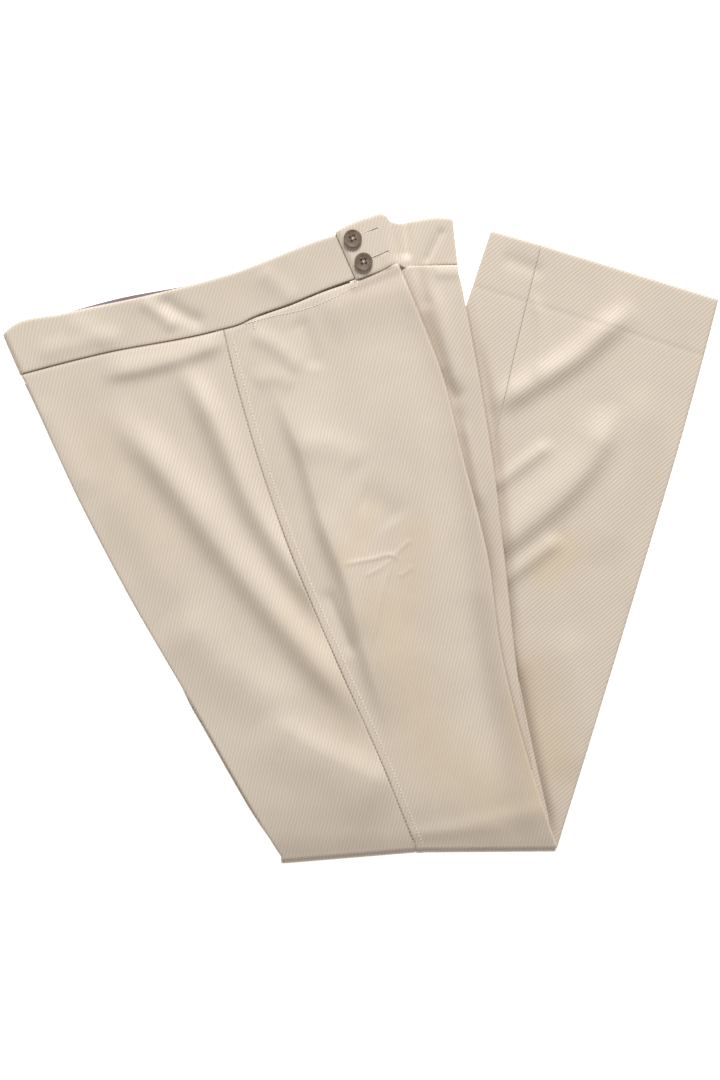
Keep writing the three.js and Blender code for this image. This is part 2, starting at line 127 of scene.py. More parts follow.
# ---- direction of the garment's upward axis on each part, in degrees ----
THIGH_GRAIN = 110
STRIP_GRAIN = 93
SHIN_GRAIN = 253
BAND_GRAIN = 90

# ---- outlines, from the waist down, as in the frame ----
SEAT_EDGE = [(-305, 144), (-301, 136), (-271, 71), (-216, -37), (-133, -181), (-76, -283)]
SIDE_SEAM = [(-123, 186.5), (-101, 103), (-65, -6), (-21.6, -109), (23, -210), (47, -273)]
RIGHT_CREASE = [(34, 246), (69, 165), (93, 71), (115, -17), (127, -101), (151, -198), (173.5, -272.5)]
LEFT_CREASE = [(87.5, 246.5), (104.5, 161), (119, 75), (130.5, -19), (142, -122), (157.5, -221)]
KNEE_SEAT, KNEE_SEAM, KNEE_FRONT = (-71, -292.5), (50, -282.5), (176.5, -281.5)
BAND_TOP_EDGE = [
    (-322, 184), (-313, 192), (-266, 203.5), (-180, 222), (-115, 239.5), (-26, 273), (20, BAND_PEAK)]
BAND_SEAM = [
    (-306, 147.5), (-234, 166), (-129, 187), (-106, 193.8), (-99, 197.6), (-62, 211.3), (-35, 222.5),
    (27, 243.5)]
THIGH_TOP_EDGE = [
    (-305, 147.4), (-234, 165.9), (-129, 186.9), (-106, 193.6), (-99, 197.2), (-62, 211), (-35, 222.1),
    (8, 237.4), (21, 243), (34, 248.2)]
HEM_BACK = (118, 278)
SHIN_BACK_LOW = (-71, -292.5)
SHIN_FRONT = [HEM_CORNER, (299, 125), (246, -55), (191, -235), (177.3, -278.5)]
LEFT_SIDE_SEAM = [(163.5, 265), (149.5, 210), (130.5, 129), (115, 62)]
SHIN_TUCKED = [(115, 62), (117.5, 30), (121, -19), (129, -87), (140, -157), (149, -217), (163, -257)]
TAB_TOP_EDGE = [
    (-22.5, 276, TAB_TOP), (-8, 284, TAB_TOP), (8, 289.8, TAB_TOP), (21, 292.5, TAB_TOP - 0.2),
    (23.8, 290.8, TAB_TOP - 0.6), (26.4, 286.7, TAB_TOP - 1.6), (31, 285.2, TAB_TOP - 3.2),
    (38, 285, STRIP_BAND_TOP + 2), (48, 287, STRIP_BAND_TOP + 0.4), (68, 290, STRIP_BAND_TOP),
    (83.5, 289, STRIP_BAND_TOP)]
TAB_LOW_EDGE = [
    (-3.5, 232.6, TAB_TOP), (7, 236.4, TAB_TOP), (19, 240.8, TAB_TOP), (31, 246.2, TAB_TOP - 0.2),
    (36.5, 245.6, TAB_TOP - 1.8), (41.5, 243.6, STRIP_BAND_TOP + 2.6), (48, 244.3, STRIP_BAND_TOP + 0.8),
    (58, 245.7, STRIP_BAND_TOP), (72, 246.5, STRIP_BAND_TOP), (87.8, 247.2, STRIP_BAND_TOP)]

# ---- folds: points along the crest or valley, height, width on the left and right of travel ----
BACK_FOLDS = [
    ([(-173, 168), (-151, 139), (-90, 18), (-9, -91)], 5.4, 12, 12),
    ([(-230, 130), (-212, 103), (-189, 76), (-99, -40), (18, -176)], 6.0, 17, 14),
    ([(-176, -66), (-133, -104), (-92, -138), (-50, -165)], 3.2, 22, 26),
    ([(-88, -156), (-54, -183), (-18, -203), (40, -230)], 4.8, 17, 33),
    ([(-238, 147), (-180, 158), (-115, 182)], 3.0, 13, 8),
    ([(-243, 76), (-202, 8), (-122, -109)], 1.4, 22, 18),
    ([(-292, 130), (-243, 35)], 1.0, 12, 10),
]
FRONT_FOLDS = [
    ([(-83, 150), (-51, 76), (-32, 15), (-12, -34), (5, -98), (32, -181)], 4.3, 30, 9),
    ([(-32, -41), (-5, -109)], -1.5, 5, 8),
    ([(-104, 186), (-67, 166), (-52, 147)], 1.4, 9, 8),
    ([(-99, 140), (-76, 145), (-56, 136)], 0.9, 9, 8),
    ([(-58, 201), (-46, 179), (-41, 150)], -1.2, 9, 10),
    ([(36, 244), (54, 206), (76, 116), (105, -109), (131, -235)], -3.6, 14, 20),
    ([(-40, 199), (-9, 210), (63, 224)], 2.0, 16, 26),
    ([(-43, 35), (-16, -30), (2, -95)], 1.5, 14, 11),
    ([(22, -276), (117, -254), (194, -237)], 1.1, 9, 12),
    ([(-4, 40), (16, 31), (34, 13)], -1.2, 14, 14),
    ([(-63, 78), (-27, 84), (2, 62)], 1.4, 14, 14),
]
# Sharp small creases, where the cloth was pinched.
FRONT_PINCHES = [
    ([(-18, -24), (10, -18), (30, -15), (38, -22)], 0.9, 2.0, 2.4),
    ([(2, -34), (18, -26), (33, -15)], 0.6, 1.7, 2.2),
    ([(28, -17), (47, 1)], 0.7, 1.8, 2.2),
    ([(32, -34), (39, -31), (48, -23)], 0.5, 1.6, 1.8),
    ([(32, -15), (20, -49), (14, -79), (10, -100)], 0.6, 2.2, 3.2),
]
SHIN_FOLDS = [
    ([(112, 114), (166, 146), (194, 163), (220, 186), (252, 212)], 4.4, 12, 11),
    ([(106, -21), (140, 4), (216, 87), (227, 125)], 5.2, 20, 13),
    ([(113, 42), (176, 89)], 1.9, 7, 7),
    ([(117, -46), (184, 4)], 2.4, 9, 8),
    ([(259, 143), (236, 62), (216, -28)], 1.6, 20, 22),
    ([(126, 255), (169, 238)], -0.9, 7, 7),
    ([(99, 199), (117, 112), (123, 53), (140, -136)], -3.0, 6, 8),
    ([(133, -91), (153, -194), (176, -289)], -5.0, 7, 13),
    ([(180, -73), (196, -145), (191, -226)], 1.6, 18, 18),
    ([(155, 224), (163, 188), (155, 139)], 1.2, 6, 6),
]
STRIP_FOLDS = [
    ([(34, 249), (68, 168), (103, 32), (126, -91)], -3.2, 7, 9),
    ([(51, 253), (54, 230), (63, 204)], -1.6, 6, 7),
    ([(61, 233), (81, 165), (89, 125)], 1.5, 8, 7),
    ([(68, 154), (83, 132), (95, 123)], -1.1, 8, 7),
    ([(65, 239), (92, 239)], 0.8, 5, 5),
    ([(92, 112), (110, 22)], 1.4, 5, 5),
]
BAND_FOLDS = [
    ([(-182, 219), (-162, 204), (-137, 193)], -1.8, 7, 7),
    ([(-202, 216), (-182, 204), (-164, 186)], 1.5, 7, 7),
    ([(-270, 195), (-240, 186), (-216, 168)], 0.9, 10, 10),
    ([(-92, 244), (-56, 212)], 1.0, 9, 9),
    ([(-297, 166), (-207, 186)], 1.0, 9, 9),
]
TAB_FOLDS = [
    ([(40, 294), (41, 249)], -2.5, 5, 8),
    ([(77, 282), (58, 246)], -1.2, 2.2, 5),
    ([(58, 298), (55, 273), (58, 242)], 0.6, 12, 12),
]
POCKET_STITCH = [(-104, 193.5), (-78, 200.5), (-48, 207.3), (-24, 217), (-4, 227.5)]
# Right edge of the lowest layer, inside the outline of everything above it.
FLOOR_RIGHT = [
    (20, 238), (70, 236), (90, 160), (84, 90), (70, 30), (40, -60), (-10, -190), (-40, -262)]

# ---- tone of the cloth, and painted shade ----
# Places where the cloth has aged to a warmer tone: from, to, reach, strength.
FRONT_WARMTH = [
    ((6, 24), (-12, -17), 14, 0.4),
    ((50, 4), (37, -85), 17, 0.45),
    ((20, -60), (60, -180), 26, 0.5),
    ((140, -150), (160, -240), 12, 0.6),
    ((60, -190), (120, -235), 34, 0.45),
]
SHIN_WARMTH = [((167, -28), (186, -9), 16, 0.7), ((150, -120), (176, -200), 22, 0.55)]
BACK_WARMTH = [((-60, -60), (0, -190), 22, 0.25), ((-240, 90), (-180, 0), 30, 0.2)]
# Painted shade: darker places deep in seams, in the shadow beside creases and edges,
# under the tab, at the knee fold and in a few broad patches: points along the middle, reach, strength.
SEAM_SHADE = [
    (SIDE_SEAM, 0.4, 0.3),
    (BAND_SEAM, 0.5, 0.6),
    ([(-63, -281), (50, -278), (171, -276)], 15, 0.16),
    ([(-85, -250), (54, -250)], 17, 0.06),
]
FRONT_SHADE = SEAM_SHADE + [
    ([(58, 188), (99, 53), (126, -91), (160, -235)], 20, 0.07),
    ([(117, -91), (130, -160), (144, -235)], 17, 0.15),
    ([(2, 228), (34, 241)], 5, 0.3),
    ([(4, 215), (34, 225)], 22, 0.09),
]
STRIP_SHADE = [
    ([(84, 143), (103, 70), (120, -20), (134, -110)], 24, 0.075),
    (RIGHT_CREASE, 2.4, 0.4),
    (RIGHT_CREASE, 7, 0.16),
]
SHIN_SHADE = [
    (LEFT_SIDE_SEAM, 0.5, 0.2),
    (LEFT_CREASE, 2.4, 0.42),
    (LEFT_CREASE, 7, 0.17),
    ([(148, -150), (160, -225), (174, -276)], 13, 0.2),
    ([(126, 256), (200, 235), (297, 206)], 38, 0.035),
    ([(150, -140), (172, -240)], 26, 0.07),
]
BAND_SHADE = [(BAND_SEAM, 0.6, 0.7), ([(-168, 222), (-95, 238), (-18, 262)], 26, 0.06)]
POCKET_SHADE = 0.35  # the pocket facing lies in the shadow of its mouth
# Painted shade deep in a buttonhole slit.
SLIT_SHADE = 0.9


# ---- curves and heights ----
def smooth(t):
    """Rises gently from 0 to 1 while t does."""
    c = np.clip(t, 0.0, 1.0)
    return c * c * (3 - 2 * c)


def spline(points):
    """A smooth curve through the points, as a function of the share of its length."""
    p = np.array(points, float)
    step = np.linalg.norm(np.diff(p, axis=0), axis=1)
    knots = np.concatenate([[0.0], np.cumsum(step)])
    chord = np.diff(p, axis=0) / step[:, None]
    slope = np.vstack([chord[:1], chord])
    if len(p) > 2:
        weight = step[1:] + step[:-1]
        slope[1:-1] = (chord[:-1] * step[1:, None] + chord[1:] * step[:-1, None]) / weight[:, None]
        slope[0] = 2 * chord[0] - slope[1]
        slope[-1] = 2 * chord[-1] - slope[-2]

    def at(share):
        s = np.atleast_1d(np.asarray(share, float)) * knots[-1]
        i = np.clip(np.searchsorted(knots, s, side="right") - 1, 0, len(step) - 1)
        h = step[i][:, None]
        u = ((s - knots[i]) / step[i])[:, None]
        start = (2 * u**3 - 3 * u**2 + 1) * p[i] + (u**3 - 2 * u**2 + u) * h * slope[i]
        return start + (3 * u**2 - 2 * u**3) * p[i + 1] + (u**3 - u**2) * h * slope[i + 1]

    return at


BEYOND = 9  # a curve carries on straight past its ends by this many of its steps


def along_line(x, y, points, samples=28):
    """Distance to a curve, positive on its right, and the share of its length passed."""
    line = spline(points)(np.linspace(0, 1, samples))[:, :2]
    best = np.full(x.shape, np.inf)
    side = np.ones(x.shape)
    share = np.zeros(x.shape)
    for k, (a, b) in enumerate(zip(line[:-1], line[1:])):
        run = b - a
        t = ((x - a[0]) * run[0] + (y - a[1]) * run[1]) / run.dot(run)
        t = np.clip(t, 0 if k else -BEYOND, 1 if k < samples - 2 else BEYOND)
        dx, dy = x - a[0] - t * run[0], y - a[1] - t * run[1]
        away = np.hypot(dx, dy)
        closer = away < best
        best = np.where(closer, away, best)
        side = np.where(closer, np.sign(run[1] * dx - run[0] * dy), side)
        share = np.where(closer, (k + t) / (samples - 1), share)
    return best * side, share


FADE = 0.22  # a fold fades in and out over this share of its length
FOLD_REACH = 3.2  # a fold is worked out as far as this many of its widths
PINCH = 1.6  # how quickly a sharp crease falls away


def fold_field(x, y, folds, sharp=False):
    """Height that a list of folds adds at the points."""
    total = np.zeros(x.shape)
    for points, height, left, right in folds:
        reach = FOLD_REACH * max(left, right)
        p = np.array(points)
        near = (x > p[:, 0].min() - reach) & (x < p[:, 0].max() + reach)
        near &= (y > p[:, 1].min() - reach) & (y < p[:, 1].max() + reach)
        if not near.any():
            continue
        away, share = along_line(x[near], y[near], points)
        width = np.where(away > 0, right, left)
        profile = np.exp(-np.abs(away) / width * PINCH) if sharp else np.exp(-((away / width) ** 2))
        total[near] += height * profile * smooth(share / FADE) * smooth((1 - share) / FADE)
    return total * sizes().fold_height


def warmth_field(x, y, places):
    """How far the cloth has aged at the points, from 0 to 1."""
    total = np.zeros(x.shape)
    for start, end, reach, strength in places:
        run = np.subtract(end, start)
        t = np.clip(((x - start[0]) * run[0] + (y - start[1]) * run[1]) / run.dot(run), 0, 1)
        away = np.hypot(x - start[0] - t * run[0], y - start[1] - t * run[1])
        total = np.maximum(total, strength * np.exp(-((away / reach) ** 2)))
    return total


def shade_field(points, lines):
    """How much painted shade darkens the cloth at the points of a sheet, from 0 to 1."""
    x, y = points[..., 0], points[..., 1]
    total = np.zeros(x.shape)
    for line, reach, strength in lines:
        away = along_line(x, y, line, 40)[0]
        total = np.maximum(total, strength * np.exp(-((away / reach) ** 2)))
    return total


SHIN_RUN = np.subtract(SHIN_BACK_LOW, HEM_BACK) / np.linalg.norm(np.subtract(SHIN_BACK_LOW, HEM_BACK))


def lift(x, y):
    """How far the shins raise what lies on them."""
    past = SHIN_RUN[0] * (y - HEM_BACK[1]) - SHIN_RUN[1] * (x - HEM_BACK[0])
    return LIFT * smooth((past + LIFT_EARLY + LIFT_RUN) / LIFT_RUN)


def knee_line(x):
    """Where the knee fold lies below a place."""
    return np.interp(x, *zip(KNEE_SEAT, KNEE_SEAM, KNEE_FRONT))


def thigh_height(folds, pinches=()):
    """Height of the right leg, with its folds, as a function of the place."""

    def at(x, y):
        above = y - knee_line(x) - KNEE_RADIUS
        full = THIGH_TOP + lift(x, y)
        base = full - (full - 2 * KNEE_RADIUS) * (1 - np.clip(above / KNEE_RUN, 0, 1)) ** 2
        added = fold_field(x, y, folds) + fold_field(x, y, pinches, sharp=True)
        return base + added * smooth(above / KNEE_CALM)

    return at


def strip_height(x, y):
    """Height of the left thigh's strip beside the right leg."""
    raised = lift(x, y)
    share = raised / LIFT
    return STRIP_TOP + raised - STRIP_SAG * share * (1 - share) + fold_field(x, y, STRIP_FOLDS)


def dip(distance, depth, reach):
    """A soft groove along a line."""
    return -depth * np.exp(-((distance / reach) ** 2))


def hem_depth(x, y):
    """Distance from the left hem, up the shin."""
    hem = np.subtract(HEM_CORNER, HEM_BACK)
    hem = hem / np.linalg.norm(hem)
    return -(hem[0] * (y - HEM_BACK[1]) - hem[1] * (x - HEM_BACK[0]))


def shin_height(x, y):
    """The left shin: its folds, and the step where the hem allowance ends under it."""
    past = hem_depth(x, y) - HEM_ALLOWANCE
    step = HEM_STEP * (1 - smooth(past / 2.5))
    dent = dip(past - 2, HEM_DENT, 3.0)
    return SHIN_TOP - SHIN_SINK + step + dent + fold_field(x, y, SHIN_FOLDS)


def level(z):
    """The same height everywhere."""
    return lambda x, y: np.full(np.shape(x), float(z))


# ---- edges as functions of the share v ----
def moved(edge, dx, dy=0.0):
    return lambda v: edge(v) + np.array([dx, dy])


def part_of(edge, start, end):
    """A stretch of an edge, from one share of its length to another."""
    return lambda v: edge(start + (end - start) * np.asarray(v))


def to_knee(points, end):
    """A thigh edge that bends over its last stretch to meet the knee fold."""
    edge = spline(points)
    goal = np.array([end[0], end[1] + KNEE_RADIUS])

    def at(v):
        pull = smooth((np.atleast_1d(v) - (1 - KNEE_PULL)) / KNEE_PULL)[:, None]
        return edge(v) * (1 - pull) + goal * pull

    return at


def along(start, end):
    """A straight edge."""
    a, b = np.array(start, float), np.array(end, float)
    return lambda v: a + (b - a) * np.atleast_1d(v)[:, None]


# ---- sheets of cloth as grids of points ----
def stops(width, left, right, pitch):
    """Distances along each row: fixed ones near its ends, even ones between."""
    count = max(2, int(round((width.max() - left[-1] - right[-1]) / pitch)))
    even = np.linspace(0, 1, count + 1)[None, 1:-1]
    start, end = left[-1], (width - right[-1])[:, None]
    middle = start + (end - start) * even
    head = np.broadcast_to(np.array(left), (len(width), len(left)))
    tail = width[:, None] - np.array(right)[None, ::-1]
    return np.hstack([head, middle, tail])


ROLL_STEPS = 9
TUCK_PITCH = 6


def unit(v):
    return v / np.linalg.norm(v, axis=-1, keepdims=True)


def roll(place, start, inward, rise, out, flat_start, flat_out, radius, tuck):
    """The points of a folded edge: round it, then back under the sheet by tuck."""
    points, flat = [], []
    for k in range(1, ROLL_STEPS + 1):
        angle = math.pi * k / ROLL_STEPS
        turned = rise * (math.cos(angle) - 1) + out * math.sin(angle)
        points.append(place(start) + radius * turned)
        flat.append(flat_start + flat_out * radius * angle)
    steps = max(2, int(tuck / TUCK_PITCH))
    for k in range(1, steps + 1):
        back = tuck * k / steps
        points.append(place(start + inward * back) - 2 * radius * rise)
        flat.append(flat_start + flat_out * (radius * math.pi + back))
    return points, flat


def folded_rows(place, flat_at, rise, distances, width, fold_left, fold_right, radius, tuck):
    """Columns of points for a stack of rows; place(d) gives one point a row at distance d."""
    low = radius if fold_left else 0.0
    high = width - radius if fold_right else width
    inner = low + (high - low)[:, None] * (distances / width[:, None])
    columns = [place(inner[:, j]) for j in range(inner.shape[1])]
    flats = [flat_at(inner[:, j]) for j in range(inner.shape[1])]
    ends = (
        (fold_left, np.full(len(width), low), np.zeros(len(width)), 1),
        (fold_right, high, width, -1),
    )
    for folded, start, edge, inward in ends:
        if not folded:
            continue
        out = unit(place(edge) - place(start))
        up = unit(rise - out * np.sum(out * rise, axis=1, keepdims=True))
        flat_out = unit(flat_at(edge) - flat_at(start))
        points, flat = roll(place, start, inward, up, out, flat_at(start), flat_out, radius, tuck)
        if inward < 0:
            columns, flats = columns + points, flats + flat
        else:
            columns, flats = points[::-1] + columns, flat[::-1] + flats
    return np.stack(columns, axis=1), np.stack(flats, axis=1)


EVEN = (0.0,)
SEAM_STOPS = (0.0, 0.35, 0.8, 1.3, 2.0, 3.0)
LAP_STOPS = (0.0, 0.35, 0.8, 1.4, 2.4, 3.6, 4.8, 5.6, 6.1, 6.6, 7.1, 7.6, 8.4, 9.6)
FINE = 1.6
MIDDLING = 1.8


def sheet_grid(left, right, length, height, pitch=FINE, left_stops=EVEN, right_stops=EVEN,
               fold_left=False, fold_right=False, knee=None, bow=None, radius=CREASE_RADIUS,
               tuck=6.0, edge=None):
    """Points and flat places of a sheet, row by row from the top."""
    rows = int(length / pitch)
    v = np.linspace(0, 1, rows + 1)
    a, b = left(v), right(v)
    run = b - a
    width = np.linalg.norm(run, axis=1)
    across = run / width[:, None]
    d = stops(width, left_stops, right_stops, pitch)

    def flat_at(distance):
        xy = a + across * distance[:, None]
        if bow is not None:
            xy = xy + np.stack([np.zeros(len(v)), bow(xy[:, 0], v)], axis=1)
        return xy

    def place(distance):
        xy = flat_at(distance)
        z = height(xy[:, 0], xy[:, 1])
        if edge is not None:
            z = z + edge(distance, width - distance, v)
        return np.column_stack([xy, z])

    rise = np.tile([0.0, 0.0, 1.0], (len(v), 1))
    points, flats = folded_rows(place, flat_at, rise, d, width, fold_left, fold_right, radius, tuck)
    if knee:
        more, more_flat = knee_rows(
            *knee, d[-1:], width[-1:], fold_left, fold_right, radius, tuck, edge)
        points, flats = np.vstack([points, more]), np.vstack([flats, more_flat])
    return points, flats


KNEE_STEPS = 22


def knee_rows(a, b, d, width, fold_left, fold_right, radius, tuck, edge):
    """The turn of the outer cloth round the knee fold, down to the floor."""
    a, b = np.array([*a, 0.0]), np.array([*b, 0.0])
    angle = np.linspace(0, math.pi, KNEE_STEPS + 1)[1:]
    up = np.column_stack([np.zeros(KNEE_STEPS), -np.sin(angle), np.cos(angle)])
    shift = np.array([0, KNEE_RADIUS, KNEE_RADIUS]) + up * KNEE_RADIUS
    run = unit(b - a)
    span = np.full(KNEE_STEPS, np.linalg.norm(b - a))

    def place(distance):
        sunk = 0 if edge is None else edge(distance, span - distance, np.ones(KNEE_STEPS))
        return a + run * distance[:, None] + shift + up * np.reshape(sunk, (-1, 1))

    def flat_at(distance):
        flat = (a + run * distance[:, None])[:, :2]
        return flat + np.column_stack([np.zeros(KNEE_STEPS), KNEE_RADIUS * (1 - angle)])

    rows = np.repeat(d * span[0] / width[0], KNEE_STEPS, axis=0)
    return folded_rows(place, flat_at, up, rows, span, fold_left, fold_right, radius, tuck)


def band_grid(upper, lower, length, height, columns, rows, fold_left=False, fold_right=False,
              radius=CREASE_RADIUS, tuck=6.0, edge=None):
    """Points and flat places of a band between an upper and a lower edge, along its length."""
    v = np.linspace(0, 1, rows + 1)
    high = np.linalg.norm(upper(0.5)[0, :2] - lower(0.5)[0, :2])

    def flat_at(distance):
        return np.column_stack([distance, -v * high])

    def place(distance):
        share = np.clip(distance / length, 0, 1)
        top, low = upper(share), lower(share)
        p = top + (low - top) * v[:, None]
        if p.shape[1] == 2:
            p = np.column_stack([p, height(p[:, 0], p[:, 1])])
        if edge is not None:
            p[:, 2] += edge(v * high, (1 - v) * high, share)
        return p

    rise = np.tile([0.0, 0.0, 1.0], (len(v), 1))
    width = np.full(len(v), float(length))
    d = np.tile(np.linspace(0, length, columns + 1), (len(v), 1))
    return folded_rows(place, flat_at, rise, d, width, fold_left, fold_right, radius, tuck)


# ---- meshes ----
def deselect_all():
    if bpy.context.object and bpy.context.object.mode != "OBJECT":
        bpy.ops.object.mode_set(mode="OBJECT")
    bpy.ops.object.select_all(action="DESELECT")


def activate(obj):
    deselect_all()
    obj.select_set(True)
    bpy.context.view_layer.objects.active = obj


def apply_modifier(obj, name, kind, **values):
    modifier = obj.modifiers.new(name, kind)
    for key, value in values.items():
        setattr(modifier, key, value)
    activate(obj)
    bpy.ops.object.modifier_apply(modifier=modifier.name)


def mesh_object(name, vertices, faces, material):
    mesh = bpy.data.meshes.new(name)
    mesh.from_pydata(vertices, [], faces)
    mesh.materials.append(material)
    mesh.update()
    obj = bpy.data.objects.new(name, mesh)
    bpy.context.scene.collection.objects.link(obj)
    return obj


def shade_smooth(obj):
    obj.data.polygons.foreach_set("use_smooth", np.ones(len(obj.data.polygons), bool))
    obj.data.update()


UV_NAME = "grain"


def sizes():
    return bpy.context.scene.trousers_sizes


def wall_mm():
    return sizes().cloth_wall / MM


def cloth_object(name, grid, material, grain, thickness, warmth=(), shade=0.0):
    """A sheet with a wall, its pattern laid along the grain, from a grid of points.

    grain is the direction of the garment's upward axis on the sheet, in degrees.
    """
    points, flats = grid
    rows, columns = points.shape[:2]
    place = (points + SHIFT).reshape(-1, 3) * MM
    i, j = np.meshgrid(np.arange(rows - 1), np.arange(columns - 1), indexing="ij")
    corner = (i * columns + j).ravel()
    faces = np.column_stack([corner, corner + columns, corner + columns + 1, corner + 1])
    obj = mesh_object(name, place.tolist(), faces.tolist(), material)
    mesh = obj.data
    up = np.array([math.cos(math.radians(grain)), math.sin(math.radians(grain))])
    flat = flats.reshape(-1, 2)
    uv = np.column_stack([flat @ np.array([up[1], -up[0]]), flat @ up])
    loops = np.empty(len(mesh.loops), np.int32)
    mesh.loops.foreach_get("vertex_index", loops)
    layer = mesh.uv_layers.new(name=UV_NAME)
    layer.uv.foreach_set("vector", uv[loops].astype(np.float32).ravel())
    x, y = points[..., 0].ravel(), points[..., 1].ravel()
    shades = np.broadcast_to(shade, (rows, columns)).ravel()
    for key, values in (("warmth", warmth_field(x, y, warmth)), ("shade", shades)):
        attribute = mesh.attributes.new(key, "FLOAT", "POINT")
        attribute.data.foreach_set("value", values.astype(np.float32))
    apply_modifier(
        obj, "wall", "SOLIDIFY", thickness=thickness * MM, offset=-1.0, use_even_offset=False)
    shade_smooth(obj)
    return obj


def declare_sheet(obj, replaces=()):
    attach(obj, replaces)


def attach(obj, replaces=()):
    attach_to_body(obj, "root")
    for node in replaces:
        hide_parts(node)


# ---- stitches ----
def stitch_model():
    """One short stitch, 1 long, 1 wide and 1 high, sunk at both ends."""
    deselect_all()
    bpy.ops.mesh.primitive_uv_sphere_add(
        segments=8, ring_count=6, radius=0.5, rotation=(0, math.pi / 2, 0))
    bpy.ops.object.transform_apply(rotation=True)
    obj = bpy.context.object
    points = np.array([v.co for v in obj.data.vertices])
    faces = [tuple(p.vertices) for p in obj.data.polygons]
    bpy.data.objects.remove(obj)
    return points, faces


def stitches(name, places, material, length, width, high):
    """A row of stitches as one mesh. places: (x, y, z, direction in radians) in millimetres."""
    model, model_faces = stitch_model()
    vertices, faces = [], []
    for x, y, z, turn in places:
        base = len(vertices)
        shaped = model * [length, width, high]
        c, s = math.cos(turn), math.sin(turn)
        for px, py, pz in shaped:
            vertices.append(((x + px * c - py * s + SHIFT[0]) * MM,
                             (y + px * s + py * c + SHIFT[1]) * MM, (z + pz) * MM))
        faces += [tuple(base + k for k in face) for face in model_faces]
    obj = mesh_object(name, vertices, faces, material)
    shade_smooth(obj)
    return obj


def stitch_line(curve, height, pitch, start, end, above):
    """Places of stitches along a curve on a surface."""
    fine = curve(np.linspace(start, end, 400))[:, :2]
    step = np.linalg.norm(np.diff(fine, axis=0), axis=1)
    length = np.concatenate([[0], np.cumsum(step)])
    at = np.arange(pitch / 2, length[-1], pitch)
    x, y = np.interp(at, length, fine[:, 0]), np.interp(at, length, fine[:, 1])
    ahead = np.interp(at + 0.5, length, fine[:, 0]), np.interp(at + 0.5, length, fine[:, 1])
    turn = np.arctan2(ahead[1] - y, ahead[0] - x)
    turn[-1] = turn[-2]
    z = height(x, y) + above
    return list(zip(x, y, z, turn))


# ---- materials ----
class Nodes:
    """Adds nodes to a tree and links them."""

    def __init__(self, tree):
        self.tree = tree

    def add(self, kind, values=None, **settings):
        node = self.tree.nodes.new(kind)
        for key, value in settings.items():
            setattr(node, key, value)
        for key, value in (values or {}).items():
            if isinstance(value, bpy.types.NodeSocket):
                self.tree.links.new(value, node.inputs[key])
            else:
                node.inputs[key].default_value = value
        return node

    def math(self, operation, a, b=0.0):
        return self.add("ShaderNodeMath", {0: a, 1: b}, operation=operation).outputs[0]

    def dot(self, vector, direction):
        node = self.add("ShaderNodeVectorMath", {0: vector, 1: direction}, operation="DOT_PRODUCT")
        return node.outputs["Value"]

    def noise(self, vector, scale, detail=2.0, roughness=0.5):
        node = self.add(
            "ShaderNodeTexNoise",
            {"Vector": vector, "Scale": scale, "Detail": detail, "Roughness": roughness})
        return node.outputs["Fac"]

    def remap(self, value, low, high, to_low, to_high):
        node = self.add(
            "ShaderNodeMapRange",
            {"Value": value, "From Min": low, "From Max": high, "To Min": to_low, "To Max": to_high})
        return node.outputs["Result"]

    def mix(self, factor, a, b, blend="MIX"):
        node = self.add(
            "ShaderNodeMix", {"Factor": factor, 6: a, 7: b}, data_type="RGBA", blend_type=blend)
        return node.outputs[2]

    def toned(self, colour, tone):
        """A colour made lighter or darker by a tone, 1 leaving it as it is."""
        grey = self.add("ShaderNodeCombineColor", {0: tone, 1: tone, 2: tone}).outputs[0]
        return self.mix(1.0, colour, grey, "MULTIPLY")

    def relief(self, height, distance, strength):
        """A normal bent by a height."""
        values = {"Height": height, "Distance": distance, "Strength": strength}
        return self.add("ShaderNodeBump", values).outputs[0]


def group_tree(name, inputs, outputs):
    """An empty shader group with its sockets: (name, kind, default) and (name, kind)."""
    tree = bpy.data.node_groups.new(name, "ShaderNodeTree")
    for label, kind, default in inputs:
        socket = tree.interface.new_socket(name=label, in_out="INPUT", socket_type=kind)
        if default is not None:
            socket.default_value = default
    for label, kind in outputs:
        tree.interface.new_socket(name=label, in_out="OUTPUT", socket_type=kind)
    return tree, tree.nodes.new("NodeGroupInput").outputs, tree.nodes.new("NodeGroupOutput").inputs


RIB_TILT = math.radians(33)  # the ribs lean this far to the right of the upward axis
FLOAT = "NodeSocketFloat"


def twill_group():
    """Diagonal ribs with a groove between them and the yarns that cross each rib."""
    tree, given, made = group_tree(
        "Twill weave",
        [("Vector", "NodeSocketVector", None), ("Rib Width", FLOAT, 3.0), ("Yarn Width", FLOAT, 0.9)],
        [("Height", FLOAT), ("Rib", FLOAT), ("Yarn", FLOAT)])
    n = Nodes(tree)
    across = n.dot(given["Vector"], (math.cos(RIB_TILT), -math.sin(RIB_TILT), 0))
    down = n.dot(given["Vector"], (math.sin(RIB_TILT), math.cos(RIB_TILT), 0))
    drift = n.remap(n.noise(given["Vector"], 0.06), 0, 1, -0.7, 0.7)
    turn = n.math("MULTIPLY", n.math("DIVIDE", n.math("ADD", across, drift), given["Rib Width"]), math.tau)
    wide = n.remap(n.math("COSINE", turn), -1, 1, 0, 1)
    fine = n.remap(n.math("COSINE", n.math("ADD", n.math("MULTIPLY", turn, 2), 0.9)), -1, 1, 0, 1)
    rib = n.math("ADD", n.math("MULTIPLY", wide, 0.8), n.math("MULTIPLY", fine, 0.2))
    step = n.math("MULTIPLY", n.math("DIVIDE", down, given["Yarn Width"]), math.tau)
    yarn = n.remap(n.math("SINE", n.math("ADD", step, turn)), -1, 1, 0, 1)
    height = n.math("ADD", n.math("MULTIPLY", rib, 0.85), n.math("MULTIPLY", yarn, 0.15))
    for label, value in (("Height", height), ("Rib", rib), ("Yarn", yarn)):
        tree.links.new(value, made[label])
    return tree


